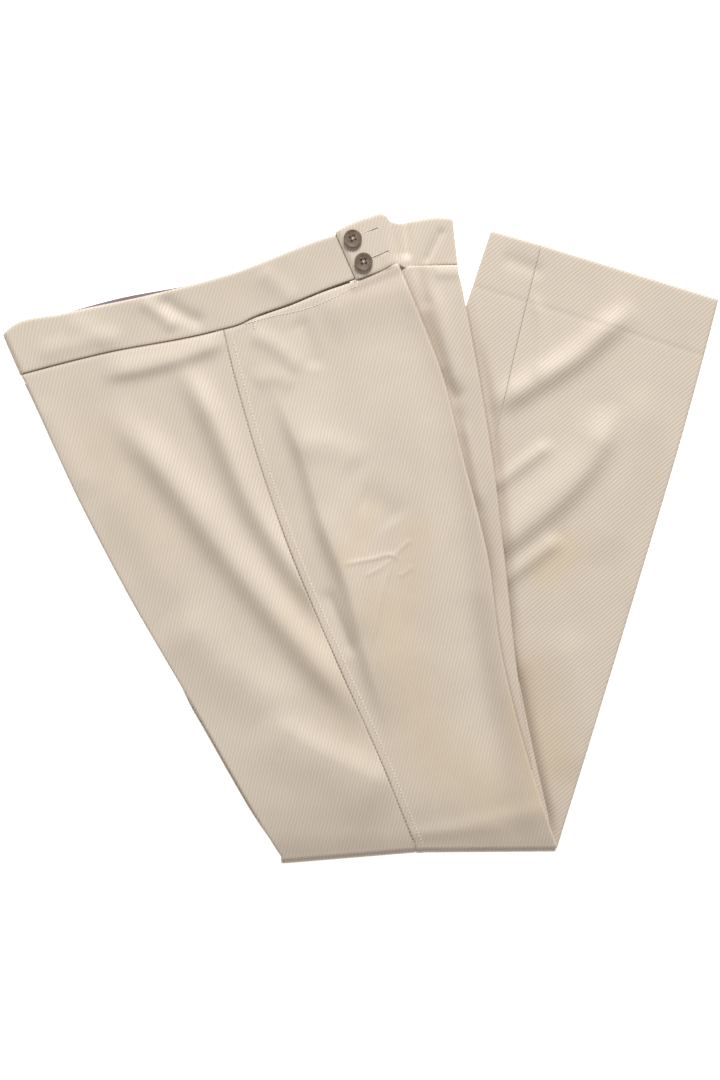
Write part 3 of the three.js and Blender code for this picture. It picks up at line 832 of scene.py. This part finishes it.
def wear_group():
    """Soft uneven tone of a cloth: broad patches and fine fibres."""
    tree, given, made = group_tree(
        "Cloth wear",
        [("Vector", "NodeSocketVector", None), ("Patch Scale", FLOAT, 0.02), ("Fibre Scale", FLOAT, 2.5)],
        [("Patches", FLOAT), ("Fibres", FLOAT)])
    n = Nodes(tree)
    tree.links.new(n.noise(given["Vector"], given["Patch Scale"], 3.0, 0.55), made["Patches"])
    tree.links.new(n.noise(given["Vector"], given["Fibre Scale"], 4.0, 0.65), made["Fibres"])
    return tree


def new_material(name):
    material = bpy.data.materials.new(name)
    material.use_nodes = True
    shader = material.node_tree.nodes["Principled BSDF"]
    return material, Nodes(material.node_tree), shader


def link(n, value, shader, socket):
    n.tree.links.new(value, shader.inputs[socket])


def woven_material(name, groups, colours, rib_width, yarn_width, contrast, relief, roughness, sheen):
    """A ribbed cloth. colours: face, groove between the ribs, aged tone, seam shadow."""
    face, groove, aged, shadow = colours
    material, n, shader = new_material(name)
    grain = n.add("ShaderNodeUVMap", uv_map=UV_NAME).outputs["UV"]
    weave = n.add(
        "ShaderNodeGroup", {"Rib Width": rib_width, "Yarn Width": yarn_width},
        node_tree=groups["twill"])
    link(n, grain, weave, "Vector")
    wear = n.add("ShaderNodeGroup", node_tree=groups["wear"])
    link(n, grain, wear, "Vector")
    warmth = n.add("ShaderNodeAttribute", attribute_name="warmth").outputs["Fac"]
    shade = n.add("ShaderNodeAttribute", attribute_name="shade").outputs["Fac"]
    gap = n.math("MULTIPLY", n.math("SUBTRACT", 1.0, weave.outputs["Rib"]), contrast)
    colour = n.mix(gap, (*face, 1), (*groove, 1))
    colour = n.mix(n.math("MULTIPLY", warmth, 0.8), colour, (*aged, 1))
    patches = n.remap(wear.outputs["Patches"], 0.3, 0.7, 0.965, 1.03)
    fibres = n.remap(wear.outputs["Fibres"], 0.3, 0.7, 0.975, 1.025)
    colour = n.toned(colour, n.math("MULTIPLY", patches, fibres))
    # Painted shade: the shade attribute darkens the colour towards the seam shadow colour.
    colour = n.mix(shade, colour, (*shadow, 1))
    link(n, colour, shader, "Base Color")
    rough = n.remap(weave.outputs["Rib"], 0, 1, roughness + 0.08, roughness - 0.04)
    link(n, rough, shader, "Roughness")
    height = n.math("ADD", weave.outputs["Height"], n.math("MULTIPLY", wear.outputs["Fibres"], 0.25))
    link(n, n.relief(height, relief, 0.8), shader, "Normal")
    shader.inputs["Sheen Weight"].default_value = sheen
    shader.inputs["Sheen Roughness"].default_value = 0.4
    shader.inputs["Specular IOR Level"].default_value = 0.45
    return material


def horn_material(colours):
    light, dark = colours
    material, n, shader = new_material("button horn")
    place = n.add("ShaderNodeTexCoord").outputs["Object"]
    cloud = n.noise(place, 160.0, 3.0, 0.6)
    stretched = n.add("ShaderNodeMapping", {"Vector": place, "Scale": (60, 420, 60)}).outputs[0]
    streak = n.noise(stretched, 3.0, 4.0)
    mark = n.remap(n.math("ADD", cloud, n.math("MULTIPLY", streak, 0.6)), 0.55, 1.0, 0, 1)
    link(n, n.mix(mark, (*dark, 1), (*light, 1)), shader, "Base Color")
    link(n, n.remap(cloud, 0.3, 0.7, 0.5, 0.62), shader, "Roughness")
    link(n, n.relief(streak, 0.00008, 0.5), shader, "Normal")
    shader.inputs["Coat Weight"].default_value = 0.06
    return material


def thread_material(name, colour):
    material, n, shader = new_material(name)
    place = n.add("ShaderNodeTexCoord").outputs["Object"]
    fibre = n.noise(place, 2600.0, 2.0, 0.6)
    tone = n.remap(fibre, 0.3, 0.7, 0.8, 1.08)
    link(n, n.toned((*colour, 1), tone), shader, "Base Color")
    link(n, n.relief(fibre, 0.0001, 0.6), shader, "Normal")
    shader.inputs["Roughness"].default_value = 0.55
    return material


def floor_material(colour):
    material, n, shader = new_material("pale floor")
    place = n.add("ShaderNodeTexCoord").outputs["Object"]
    tone = n.remap(n.noise(place, 3.0), 0.3, 0.7, 0.995, 1.0)
    link(n, n.toned((*colour, 1), tone), shader, "Base Color")
    shader.inputs["Roughness"].default_value = 0.9
    shader.inputs["Specular IOR Level"].default_value = 0.1
    shader.inputs["Emission Color"].default_value = (1, 1, 1, 1)
    shader.inputs["Emission Strength"].default_value = 0.8
    return material


MATERIALS = {}


def make_materials(colours):
    groups = {"twill": twill_group(), "wear": wear_group()}
    face = tuple(colours.twill)
    MATERIALS["twill"] = woven_material(
        "cream twill", groups,
        (face, tuple(colours.groove), tuple(colours.aged), tuple(colours.seam)),
        rib_width=sizes().rib_width / MM, yarn_width=sizes().yarn_width / MM, contrast=0.5,
        relief=0.00022, roughness=0.5, sheen=0.12)
    MATERIALS["facing"] = woven_material(
        "grey facing", groups,
        (tuple(colours.facing), (0.1, 0.08, 0.085), tuple(colours.facing), (0.05, 0.04, 0.04)),
        rib_width=0.9, yarn_width=0.6, contrast=0.5, relief=0.0001, roughness=0.7, sheen=0.1)
    MATERIALS["horn"] = horn_material((tuple(colours.horn_light), tuple(colours.horn_dark)))
    MATERIALS["thread"] = thread_material("cream thread", tuple(colours.thread))
    MATERIALS["seam_thread"] = thread_material("seam thread", tuple(colours.seam_thread))


# ---- pieces ----
BOW_REACH = 0.25  # share of the thigh over which its rows straighten
MOUTH_REACH = 0.03
MOUTH_END = 8  # the pocket mouth narrows over this stretch at both ends


def waist_bow(start, end, mouth=None, gap=0.0):
    """Bends the rows near the waist on to the curved waist seam, less a gap at the mouth."""
    line = spline(THIGH_TOP_EDGE)(np.linspace(0, 1, 90))

    def bow(x, v):
        chord = start[1] + (end[1] - start[1]) * (x - start[0]) / (end[0] - start[0])
        shift = (np.interp(x, line[:, 0], line[:, 1]) - chord) * (1 - smooth(v / BOW_REACH))
        if mouth:
            window = smooth((x - mouth[0]) / MOUTH_END) * smooth((mouth[1] - x) / MOUTH_END)
            shift = shift - gap * window * (1 - smooth(v / MOUTH_REACH))
        return shift

    return bow


def panel(name, grid, grain, shade=0.0, warmth=()):
    """A piece of twill of the usual thickness."""
    return cloth_object(name, grid, MATERIALS["twill"], grain, wall_mm(), warmth, shade)


def right_back_panel():
    def edge(left, right, v):
        return dip(right, 0.45, 0.8) + dip(v * THIGH_LENGTH, 0.4, 1.6)

    seam_end = (KNEE_SEAM[0] - SEAM_SIDE, KNEE_SEAM[1])
    grid = sheet_grid(
        to_knee(SEAT_EDGE, KNEE_SEAT), moved(to_knee(SIDE_SEAM, KNEE_SEAM), -SEAM_SIDE), THIGH_LENGTH,
        thigh_height(BACK_FOLDS), right_stops=SEAM_STOPS, fold_left=True, knee=(KNEE_SEAT, seam_end),
        bow=waist_bow(SEAT_EDGE[0], SIDE_SEAM[0]), edge=edge)
    shade = shade_field(grid[0], SEAM_SHADE)
    return panel("right_back_panel", grid, THIGH_GRAIN, shade, BACK_WARMTH)


def right_front_panel():
    def edge(left, right, v):
        lap = 0.35 * (1 - smooth((left - LAP + 0.5) / 1.2)) + dip(left, 0.6, 0.6)
        return lap + dip(v * THIGH_LENGTH, 0.45, 1.8)

    seam_end = (KNEE_SEAM[0] + SEAM_SIDE, KNEE_SEAM[1])
    grid = sheet_grid(
        moved(to_knee(SIDE_SEAM, KNEE_SEAM), SEAM_SIDE), to_knee(RIGHT_CREASE, KNEE_FRONT), THIGH_LENGTH,
        thigh_height(FRONT_FOLDS, FRONT_PINCHES), left_stops=LAP_STOPS, fold_right=True,
        knee=(seam_end, KNEE_FRONT), edge=edge,
        bow=waist_bow(SIDE_SEAM[0], RIGHT_CREASE[0], POCKET, POCKET_GAP))
    shade = shade_field(grid[0], FRONT_SHADE)
    return panel("right_front_panel", grid, THIGH_GRAIN, shade, FRONT_WARMTH)


def strip_left(v):
    """Left edge of the strip, tucked under the right leg's front crease."""
    right = spline(LEFT_CREASE)(0.97 * np.atleast_1d(v))
    crease = spline(RIGHT_CREASE)(np.linspace(1, 0, 200))
    x = np.interp(right[:, 1], crease[:, 1], crease[:, 0]) - STRIP_TUCK
    return np.column_stack([x, right[:, 1] - (1 - np.atleast_1d(v)) * 0.6])


def left_thigh_strip():
    grid = sheet_grid(
        strip_left, part_of(spline(LEFT_CREASE), 0.0, 0.97), STRIP_LENGTH, strip_height, pitch=1.5,
        fold_right=True, edge=lambda left, right, v: dip(v * STRIP_LENGTH, 0.6, 1.6))
    return panel("left_thigh_strip", grid, STRIP_GRAIN, shade_field(grid[0], STRIP_SHADE))


def left_back_shin():
    def edge(left, right, v):
        return dip(right, 0.35, 1.1) + dip(v * BACK_SHIN_LENGTH, 0.5, 1.4)

    grid = sheet_grid(
        along(HEM_BACK, (46.4, 62)), moved(spline(LEFT_SIDE_SEAM), -SEAM_SIDE), BACK_SHIN_LENGTH,
        shin_height, pitch=MIDDLING, right_stops=SEAM_STOPS, fold_left=True, edge=edge)
    return panel("left_back_shin", grid, SHIN_GRAIN, shade_field(grid[0], SHIN_SHADE))


def left_front_shin():
    def edge(left, right, v):
        return dip(left, 0.35, 1.1) * (v < 0.5) + dip(v * FRONT_SHIN_LENGTH, 0.5, 1.4)

    grid = sheet_grid(
        moved(spline(LEFT_SIDE_SEAM + SHIN_TUCKED[1:]), SEAM_SIDE), spline(SHIN_FRONT),
        FRONT_SHIN_LENGTH, shin_height, pitch=MIDDLING, left_stops=SEAM_STOPS, fold_right=True,
        edge=edge)
    shade = shade_field(grid[0], SHIN_SHADE)
    return panel("left_front_shin", grid, SHIN_GRAIN, shade, SHIN_WARMTH)


def pillow(depth=0.8, reach=1.3):
    """Rounds both long edges of a band down."""
    return lambda top, low, share: dip(top, depth, reach) + dip(low, depth, reach)


def right_waistband():
    grid = band_grid(
        spline(BAND_TOP_EDGE), moved(spline(BAND_SEAM), 0, 0.14), BAND_LENGTH,
        lambda x, y: BAND_TOP + fold_field(x, y, BAND_FOLDS), 210, 30, fold_left=True,
        radius=BAND_TOP / 2, tuck=24, edge=pillow())
    shade = shade_field(grid[0], BAND_SHADE)
    return cloth_object(
        "right_waistband", grid, MATERIALS["twill"], BAND_GRAIN, BAND_WALL, shade=shade)


def button_centre(node):
    low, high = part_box(node)
    return ((low.x + high.x) / 2 / MM - SHIFT[0], (low.y + high.y) / 2 / MM - SHIFT[1])


def on_slit(centre, reach, side=0.0):
    """A place along a buttonhole from its button's middle, and beside it."""
    c, s = math.cos(BUTTONHOLE_TURN), math.sin(BUTTONHOLE_TURN)
    return centre[0] + reach * c - side * s, centre[1] + reach * s + side * c


def left_waistband():
    def edge(top, low, share):
        return pillow(0.7, 1.2)(top, low, share) + dip(share * TAB_LENGTH, 1.7, 3.2)

    points, flats = band_grid(
        spline(TAB_TOP_EDGE), spline(TAB_LOW_EDGE), TAB_LENGTH, None, 110, 36, fold_right=True,
        radius=STRIP_BAND_TOP / 2, tuck=30, edge=edge)
    x, y = points[..., 0], points[..., 1]
    points[..., 2] += fold_field(x, y, TAB_FOLDS)
    # Painted shade deep in each buttonhole slit, which is also pressed down a little.
    shade = np.zeros(x.shape)
    for node, _ in BUTTONS:
        slit = [on_slit(button_centre(node), r) for r in BUTTONHOLE_REACH]
        away, share = along_line(x, y, slit, 8)
        on_tab = (share > 0) & (share < 1) & (points[..., 2] > STRIP_BAND_TOP + 2)
        mark = SLIT_SHADE * np.exp(-((away / SLIT_WIDTH) ** 2)) * on_tab
        shade = np.maximum(shade, mark)
        points[..., 2] -= 0.5 * mark
    return cloth_object(
        "left_waistband", (points, flats), MATERIALS["twill"], BAND_GRAIN, BAND_WALL, shade=shade)


def far_top(v):
    """Upper edge of the far side of the band, which bows out past the near one."""
    share = np.atleast_1d(v)
    bow = np.sin(math.pi * smooth((share - 0.12) / 0.42)) * (share < 0.54)
    return spline(BAND_TOP_EDGE)(share) + np.column_stack([np.zeros(len(share)), FAR_BAND_OUT * bow])


def facing_strip():
    low, high = span_mm("waistband_facing", 2)
    grid = band_grid(
        part_of(far_top, 0.05, 0.9), part_of(moved(spline(BAND_SEAM), 0, 0.3), 0.05, 0.9),
        FACING_LENGTH, level(high), 150, 16, edge=pillow(0.3, 0.8))
    return cloth_object(
        "waistband_facing_cloth", grid, MATERIALS["facing"], BAND_GRAIN, high - low)


def pocket_facing():
    high = span_mm("pocket_facing_right", 2)[1]
    top = spline(THIGH_TOP_EDGE)
    grid = band_grid(
        part_of(moved(top, -0.5, 0.8), 0.5, 0.87), part_of(moved(top, 3, -9), 0.5, 0.87),
        POCKET_LENGTH, level(high), 60, 8)
    return panel("pocket_facing_cloth", grid, BAND_GRAIN, POCKET_SHADE)


def left_thigh_under():
    """The left thigh, whose back crease peeps out past the right one near the knee."""
    def inset(v):
        peep = 3.0 * smooth((v - 0.62) / 0.08) * smooth((0.94 - v) / 0.08)
        return to_knee(SEAT_EDGE, KNEE_SEAT)(v) + np.column_stack([0.4 - peep, np.zeros(len(v))])

    def height(x, y):
        return LEG + lift(x, y) * 0.96

    crease = part_of(inset, 0.01, 0.985)
    grid = sheet_grid(
        crease, moved(crease, 46.0, 8.0), UNDER_LENGTH, height, pitch=3.0, fold_left=True, tuck=38)
    return panel("left_thigh_under", grid, THIGH_GRAIN)


def right_shin():
    grid = sheet_grid(
        along((119.2, 276.0), (-60, -280)), moved(part_of(spline(SHIN_FRONT), 0.004, 0.97), -1.4),
        RIGHT_SHIN_LENGTH, level(LEG), pitch=4.0, fold_left=True, fold_right=True, tuck=96)
    return panel("right_shin", grid, SHIN_GRAIN)


def left_shin_under():
    grid = sheet_grid(
        along((126.0, 274.0), (101, 200)), moved(part_of(spline(SHIN_FRONT), 0.004, 0.16), -8.0),
        HEM_UNDER_LENGTH, level(SHIN_TOP - LEG + 0.9), pitch=2.4)
    return panel("left_shin_under", grid, SHIN_GRAIN)


def far_waistband():
    grid = band_grid(
        part_of(far_top, 0.03, 0.97), part_of(moved(spline(BAND_SEAM), 0, 0.3), 0.03, 0.97),
        FAR_BAND_LENGTH, level(2.2), 150, 14, edge=pillow(0.4, 1.0))
    return cloth_object("far_waistband", grid, MATERIALS["twill"], BAND_GRAIN, 2.0)


def floor_layer():
    grid = sheet_grid(
        moved(part_of(spline(SEAT_EDGE), 0.01, 0.96), 5), part_of(spline(FLOOR_RIGHT), 0.1, 0.98),
        FLOOR_LENGTH, level(0.9), pitch=8.0)
    return panel("floor_layer", grid, THIGH_GRAIN)


def select_faces(obj, test):
    """In edit mode, selects the faces whose centre and normal pass the test."""
    data = bmesh.from_edit_mesh(obj.data)
    for face in data.faces:
        face.select_set(bool(test(face.calc_center_median(), face.normal)))
    bmesh.update_edit_mesh(obj.data)


def button(name, node, turn):
    """A turned four-hole button with a raised rim and a dished middle."""
    low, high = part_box(node)
    centre, thick = (low + high) / 2, high.z - low.z
    radius = (high.x - low.x) / 2
    deselect_all()
    bpy.ops.mesh.primitive_cylinder_add(
        vertices=56, radius=radius, depth=thick * 0.8, location=(centre.x, centre.y, centre.z))
    body = bpy.context.object
    body.name = body.data.name = name
    bpy.ops.object.transform_apply(location=True)
    bpy.ops.object.mode_set(mode="EDIT")
    bpy.ops.mesh.select_mode(type="FACE")
    select_faces(body, lambda c, n: n.z > 0.9)
    for inward, down in ((0.0012, 0.0001), (0.0007, -0.0003), (0.0010, -0.0002)):
        bpy.ops.mesh.inset(thickness=inward)
        bpy.ops.transform.translate(value=(0, 0, down))
    bpy.ops.object.mode_set(mode="OBJECT")
    for sx, sy in ((1, 1), (1, -1), (-1, 1), (-1, -1)):
        offset = Matrix.Rotation(turn, 3, "Z") @ Vector((sx, sy, 0)) * (HOLE_PITCH / 2 * MM)
        deselect_all()
        bpy.ops.mesh.primitive_cylinder_add(
            vertices=16, radius=HOLE_WIDTH / 2 * MM, depth=0.02, location=centre + offset)
        drill = bpy.context.object
        apply_modifier(body, "hole", "BOOLEAN", operation="DIFFERENCE", object=drill, solver="EXACT")
        bpy.data.objects.remove(drill)
    apply_modifier(
        body, "edge", "BEVEL", width=0.00035, segments=3, limit_method="ANGLE", angle_limit=0.6)
    activate(body)
    bpy.ops.object.shade_smooth_by_angle(angle=math.radians(35))
    body.data.materials.clear()
    body.data.materials.append(MATERIALS["horn"])
    return body


def button_thread(name, node, turn):
    x, y = button_centre(node)
    z = BUTTON_LOW + (BUTTON_HIGH - BUTTON_LOW) * 0.78
    reach = HOLE_PITCH * math.sqrt(2)
    places = [(x + shift * math.sin(a), y - shift * math.cos(a), z, a)
              for a in (turn + math.pi / 4, turn - math.pi / 4) for shift in (-0.25, 0.25)]
    return stitches(name, places, MATERIALS["thread"], reach * 0.74, 0.34, 0.7)


def buttonhole(name, node):
    """Two rows of close stitches beside the slit and a bar across its outer end."""
    centre = button_centre(node)
    start, end = BUTTONHOLE_REACH
    z = TAB_TOP - 0.1
    across = BUTTONHOLE_TURN + math.pi / 2
    places = []
    for side in (-BUTTONHOLE_SIDE, BUTTONHOLE_SIDE):
        for reach in np.arange(start, end, BUTTONHOLE_PITCH):
            places.append((*on_slit(centre, reach, side), z, across))
    for offset in np.arange(-1.4, 1.5, 0.55):
        places.append((*on_slit(centre, end + 0.2, offset), z, BUTTONHOLE_TURN))
    return stitches(name, places, MATERIALS["thread"], 1.35, 0.6, 0.7)


def seam_stitches():
    front = thigh_height(FRONT_FOLDS, FRONT_PINCHES)
    seam = to_knee(SIDE_SEAM, KNEE_SEAM)
    rows = (  # name, thread, size of a stitch, curve, pitch, start, end, height above the cloth
        ("side_seam_stitches", "seam_thread", (2.1, 0.8, 0.5),
         seam, sizes().stitch_pitch / MM, 0.004, 0.992, 0.02),
        ("side_seam_topstitch", "thread", (2.0, 0.8, 0.8),
         moved(seam, LAP * 1.04), 3.2, 0.02, 0.985, 0.4),
        ("pocket_topstitch", "thread", (1.9, 0.8, 0.8), spline(POCKET_STITCH), 2.9, 0, 1, 0.12),
    )
    made = []
    for name, thread, size, curve, *run in rows:
        places = stitch_line(curve, front, *run)
        made.append(stitches(name, places, MATERIALS[thread], *size))
    tacks = []
    for (x, y), turn in (((POCKET[0], 195.2), 0.2), ((POCKET[1] - 1.2, 233.0), 0.4)):
        for k in range(9):
            px, py = x + 0.12 * k, y - 0.75 * k
            tacks.append((px, py, float(front(np.array([px]), np.array([py]))[0]) + 0.1, turn))
    made.append(stitches("pocket_bar_tacks", tacks, MATERIALS["thread"], 1.9, 0.7, 0.7))
    return made


# ---- floor, lights and camera ----
CAMERA_HEIGHT = 3.01
CLOTH_LEVEL = 0.01  # height at which VIEW_HEIGHT is measured
VIEW_HEIGHT = 0.972  # from the top of the view to its bottom
CAMERA_ASIDE = (0.0, -0.0009)
SENSOR = 36


def soft_light(name, place, size, power):
    data = bpy.data.lights.new(name, "AREA")
    data.shape = "RECTANGLE"
    data.size, data.size_y = size
    data.energy = power
    light = bpy.data.objects.new(name, data)
    light.location = place
    light.rotation_euler = (-Vector(place)).to_track_quat("-Z", "Y").to_euler()
    bpy.context.scene.collection.objects.link(light)


def make_stage(colours):
    scene = bpy.context.scene
    deselect_all()
    bpy.ops.mesh.primitive_plane_add(size=6, location=(0, 0, -0.0003))
    floor = bpy.context.object
    floor.name = "floor"
    floor.data.materials.append(floor_material(tuple(colours.floor)))
    soft_light("window", (0.3, 3.7, 2.7), (1.8, 1.3), colours.window_power)
    soft_light("fill", (0.3, -1.6, 2.4), (2.4, 2.4), colours.fill_power)
    world = bpy.data.worlds.new("studio")
    world.use_nodes = True
    background = world.node_tree.nodes["Background"]
    background.inputs["Color"].default_value = (1, 0.955, 0.9, 1)
    background.inputs["Strength"].default_value = colours.room_light
    scene.world = world
    scene.view_settings.view_transform = "Standard"
    data = bpy.data.cameras.new("camera")
    data.sensor_width = SENSOR
    data.lens = SENSOR * (CAMERA_HEIGHT - CLOTH_LEVEL) / VIEW_HEIGHT
    data.clip_end = 20
    camera = bpy.data.objects.new("camera", data)
    x, y = SHIFT[0] * MM + CAMERA_ASIDE[0], SHIFT[1] * MM + CAMERA_ASIDE[1]
    camera.location = (x, y, CAMERA_HEIGHT)
    scene.collection.objects.link(camera)
    scene.camera = camera


# ---- add-on ----
def length(name, description, default, low, high):
    return bpy.props.FloatProperty(
        name=name, description=description, default=default, min=low, max=high, unit="LENGTH",
        precision=4)


def factor(name, description, default, low, high):
    return bpy.props.FloatProperty(
        name=name, description=description, default=default, min=low, max=high)


def colour(name, description, default):
    return bpy.props.FloatVectorProperty(
        name=name, description=description, default=default, min=0, max=1, size=3, subtype="COLOR")


class TrousersSizes(bpy.types.PropertyGroup):
    """Sizes of the cloth and its stitches."""

    cloth_wall: length("Cloth", "Thickness of the twill", 0.0009, 0.0005, 0.0012)
    rib_width: length("Rib", "From one twill rib to the next", 0.003, 0.001, 0.006)
    yarn_width: length("Yarn", "From one crossing yarn to the next", 0.0009, 0.0004, 0.002)
    stitch_pitch: length("Seam stitch", "From one side seam stitch to the next", 0.0034, 0.002, 0.006)
    fold_height: factor("Folds", "Height of the folds, as a share of the usual one", 1.12, 0.0, 1.3)


class TrousersColours(bpy.types.PropertyGroup):
    """Colours of the cloth, threads and buttons, and the light on them."""

    twill: colour("Twill", "Face of the ribs", (0.768, 0.677, 0.57))
    groove: colour("Groove", "Between the ribs", (0.52, 0.42, 0.32))
    aged: colour("Aged", "Where the cloth has yellowed", (0.70, 0.57, 0.39))
    seam: colour("Seam shadow", "Deep in a seam or slit", (0.2, 0.115, 0.07))
    facing: colour("Facing", "Inside of the waistband", (0.205, 0.165, 0.175))
    thread: colour("Thread", "Topstitching, bar tacks and button thread", (0.87, 0.81, 0.71))
    seam_thread: colour("Seam thread", "Stitches across the seams", (0.6, 0.48, 0.36))
    horn_light: colour("Horn, light", "Lighter marks of the buttons", (0.24, 0.175, 0.125))
    horn_dark: colour("Horn, dark", "Darker marks of the buttons", (0.09, 0.06, 0.04))
    floor: colour("Floor", "Surface that the trousers lie on", (0.7, 0.7, 0.7))
    window_power: factor("Window light", "Watts of the light from the waist end", 240.0, 0.0, 500.0)
    fill_power: factor("Fill light", "Watts of the light from the knee end", 6.0, 0.0, 500.0)
    room_light: factor("Room light", "Strength of the even light all round", 0.25, 0.0, 3.0)


class TROUSERS_OT_materials(bpy.types.Operator):
    """Make the cloth, thread and button materials"""

    bl_idname = "trousers.materials"
    bl_label = "Materials"

    def execute(self, context):
        make_materials(context.scene.trousers_colours)
        return {"FINISHED"}


class TROUSERS_OT_right_leg(bpy.types.Operator):
    """Make the right leg's panels, which lie on top"""

    bl_idname = "trousers.right_leg"
    bl_label = "Right leg"

    def execute(self, context):
        back = right_back_panel()
        declare_sheet(back, replaces=["right_leg_back"])
        front = right_front_panel()
        declare_sheet(front, replaces=["right_leg_front"])
        return {"FINISHED"}


class TROUSERS_OT_left_leg(bpy.types.Operator):
    """Make the strip of the left thigh and the left shin that show"""

    bl_idname = "trousers.left_leg"
    bl_label = "Left leg"

    def execute(self, context):
        strip = left_thigh_strip()
        declare_sheet(strip, replaces=["left_leg_front_thigh"])
        back = left_back_shin()
        declare_sheet(back, replaces=["left_leg_back_shin"])
        front = left_front_shin()
        declare_sheet(front, replaces=["left_leg_front_shin"])
        return {"FINISHED"}


class TROUSERS_OT_waistband(bpy.types.Operator):
    """Make both sides of the waistband, its tab and its facing"""

    bl_idname = "trousers.waistband"
    bl_label = "Waistband"

    def execute(self, context):
        right = right_waistband()
        declare_sheet(right, replaces=["waistband_right"])
        left = left_waistband()
        declare_sheet(left, replaces=["waistband_left"])
        inside = facing_strip()
        declare_sheet(
            inside, replaces=["waistband_facing"])
        pocket = pocket_facing()
        declare_sheet(pocket, replaces=["pocket_facing_right"])
        return {"FINISHED"}


class TROUSERS_OT_hidden_layers(bpy.types.Operator):
    """Make the layers inside the fold, of which only the edges show"""

    bl_idname = "trousers.hidden_layers"
    bl_label = "Layers inside the fold"

    def execute(self, context):
        layers = (
            (left_thigh_under, (0.085, 0.48)),
            (right_shin, (0.395, 0.56)),
            (left_shin_under, (0.20, 0.08)),
            (far_waistband, (0.34, 0.046)),
            (floor_layer, (0.26, 0.44)),
        )
        for make, flat in layers:
            declare_sheet(make(), replaces=["hidden_layers"])
        return {"FINISHED"}


class TROUSERS_OT_buttons(bpy.types.Operator):
    """Make the two buttons with their thread and buttonholes"""

    bl_idname = "trousers.buttons"
    bl_label = "Buttons"

    def execute(self, context):
        for node, turn in BUTTONS:
            attach(button("turned_" + node, node, turn), [node])
            attach(button_thread("thread_" + node, node, turn))
            attach(buttonhole("hole_" + node, node))
        return {"FINISHED"}


class TROUSERS_OT_stitches(bpy.types.Operator):
    """Make the stitches of the side seam and the pocket"""

    bl_idname = "trousers.stitches"
    bl_label = "Stitches"

    def execute(self, context):
        for row in seam_stitches():
            attach(row)
        return {"FINISHED"}


class TROUSERS_OT_stage(bpy.types.Operator):
    """Make the floor, lights and camera"""

    bl_idname = "trousers.stage"
    bl_label = "Floor, lights and camera"

    def execute(self, context):
        make_stage(context.scene.trousers_colours)
        return {"FINISHED"}


STEPS = (
    TROUSERS_OT_materials, TROUSERS_OT_right_leg, TROUSERS_OT_left_leg, TROUSERS_OT_waistband,
    TROUSERS_OT_hidden_layers, TROUSERS_OT_buttons, TROUSERS_OT_stitches, TROUSERS_OT_stage)


class TROUSERS_PT_panel(bpy.types.Panel):
    """Sizes, colours and steps of the trousers"""

    bl_idname = "TROUSERS_PT_panel"
    bl_label = "Folded trousers"
    bl_space_type = "VIEW_3D"
    bl_region_type = "UI"
    bl_category = "Trousers"

    def draw(self, context):
        for group in (context.scene.trousers_sizes, context.scene.trousers_colours):
            box = self.layout.box()
            for name in group.__annotations__:
                box.prop(group, name)
        for step in STEPS:
            self.layout.operator(step.bl_idname)


CLASSES = (TrousersSizes, TrousersColours, *STEPS, TROUSERS_PT_panel)


def register():
    for cls in CLASSES:
        bpy.utils.register_class(cls)
    bpy.types.Scene.trousers_sizes = bpy.props.PointerProperty(type=TrousersSizes)
    bpy.types.Scene.trousers_colours = bpy.props.PointerProperty(type=TrousersColours)


def unregister():
    del bpy.types.Scene.trousers_colours
    del bpy.types.Scene.trousers_sizes
    for cls in reversed(CLASSES):
        bpy.utils.unregister_class(cls)


def main():
    register()
    for step in STEPS:
        category, name = step.bl_idname.split(".")
        getattr(getattr(bpy.ops, category), name)()


if __name__ == "__main__":
    main()
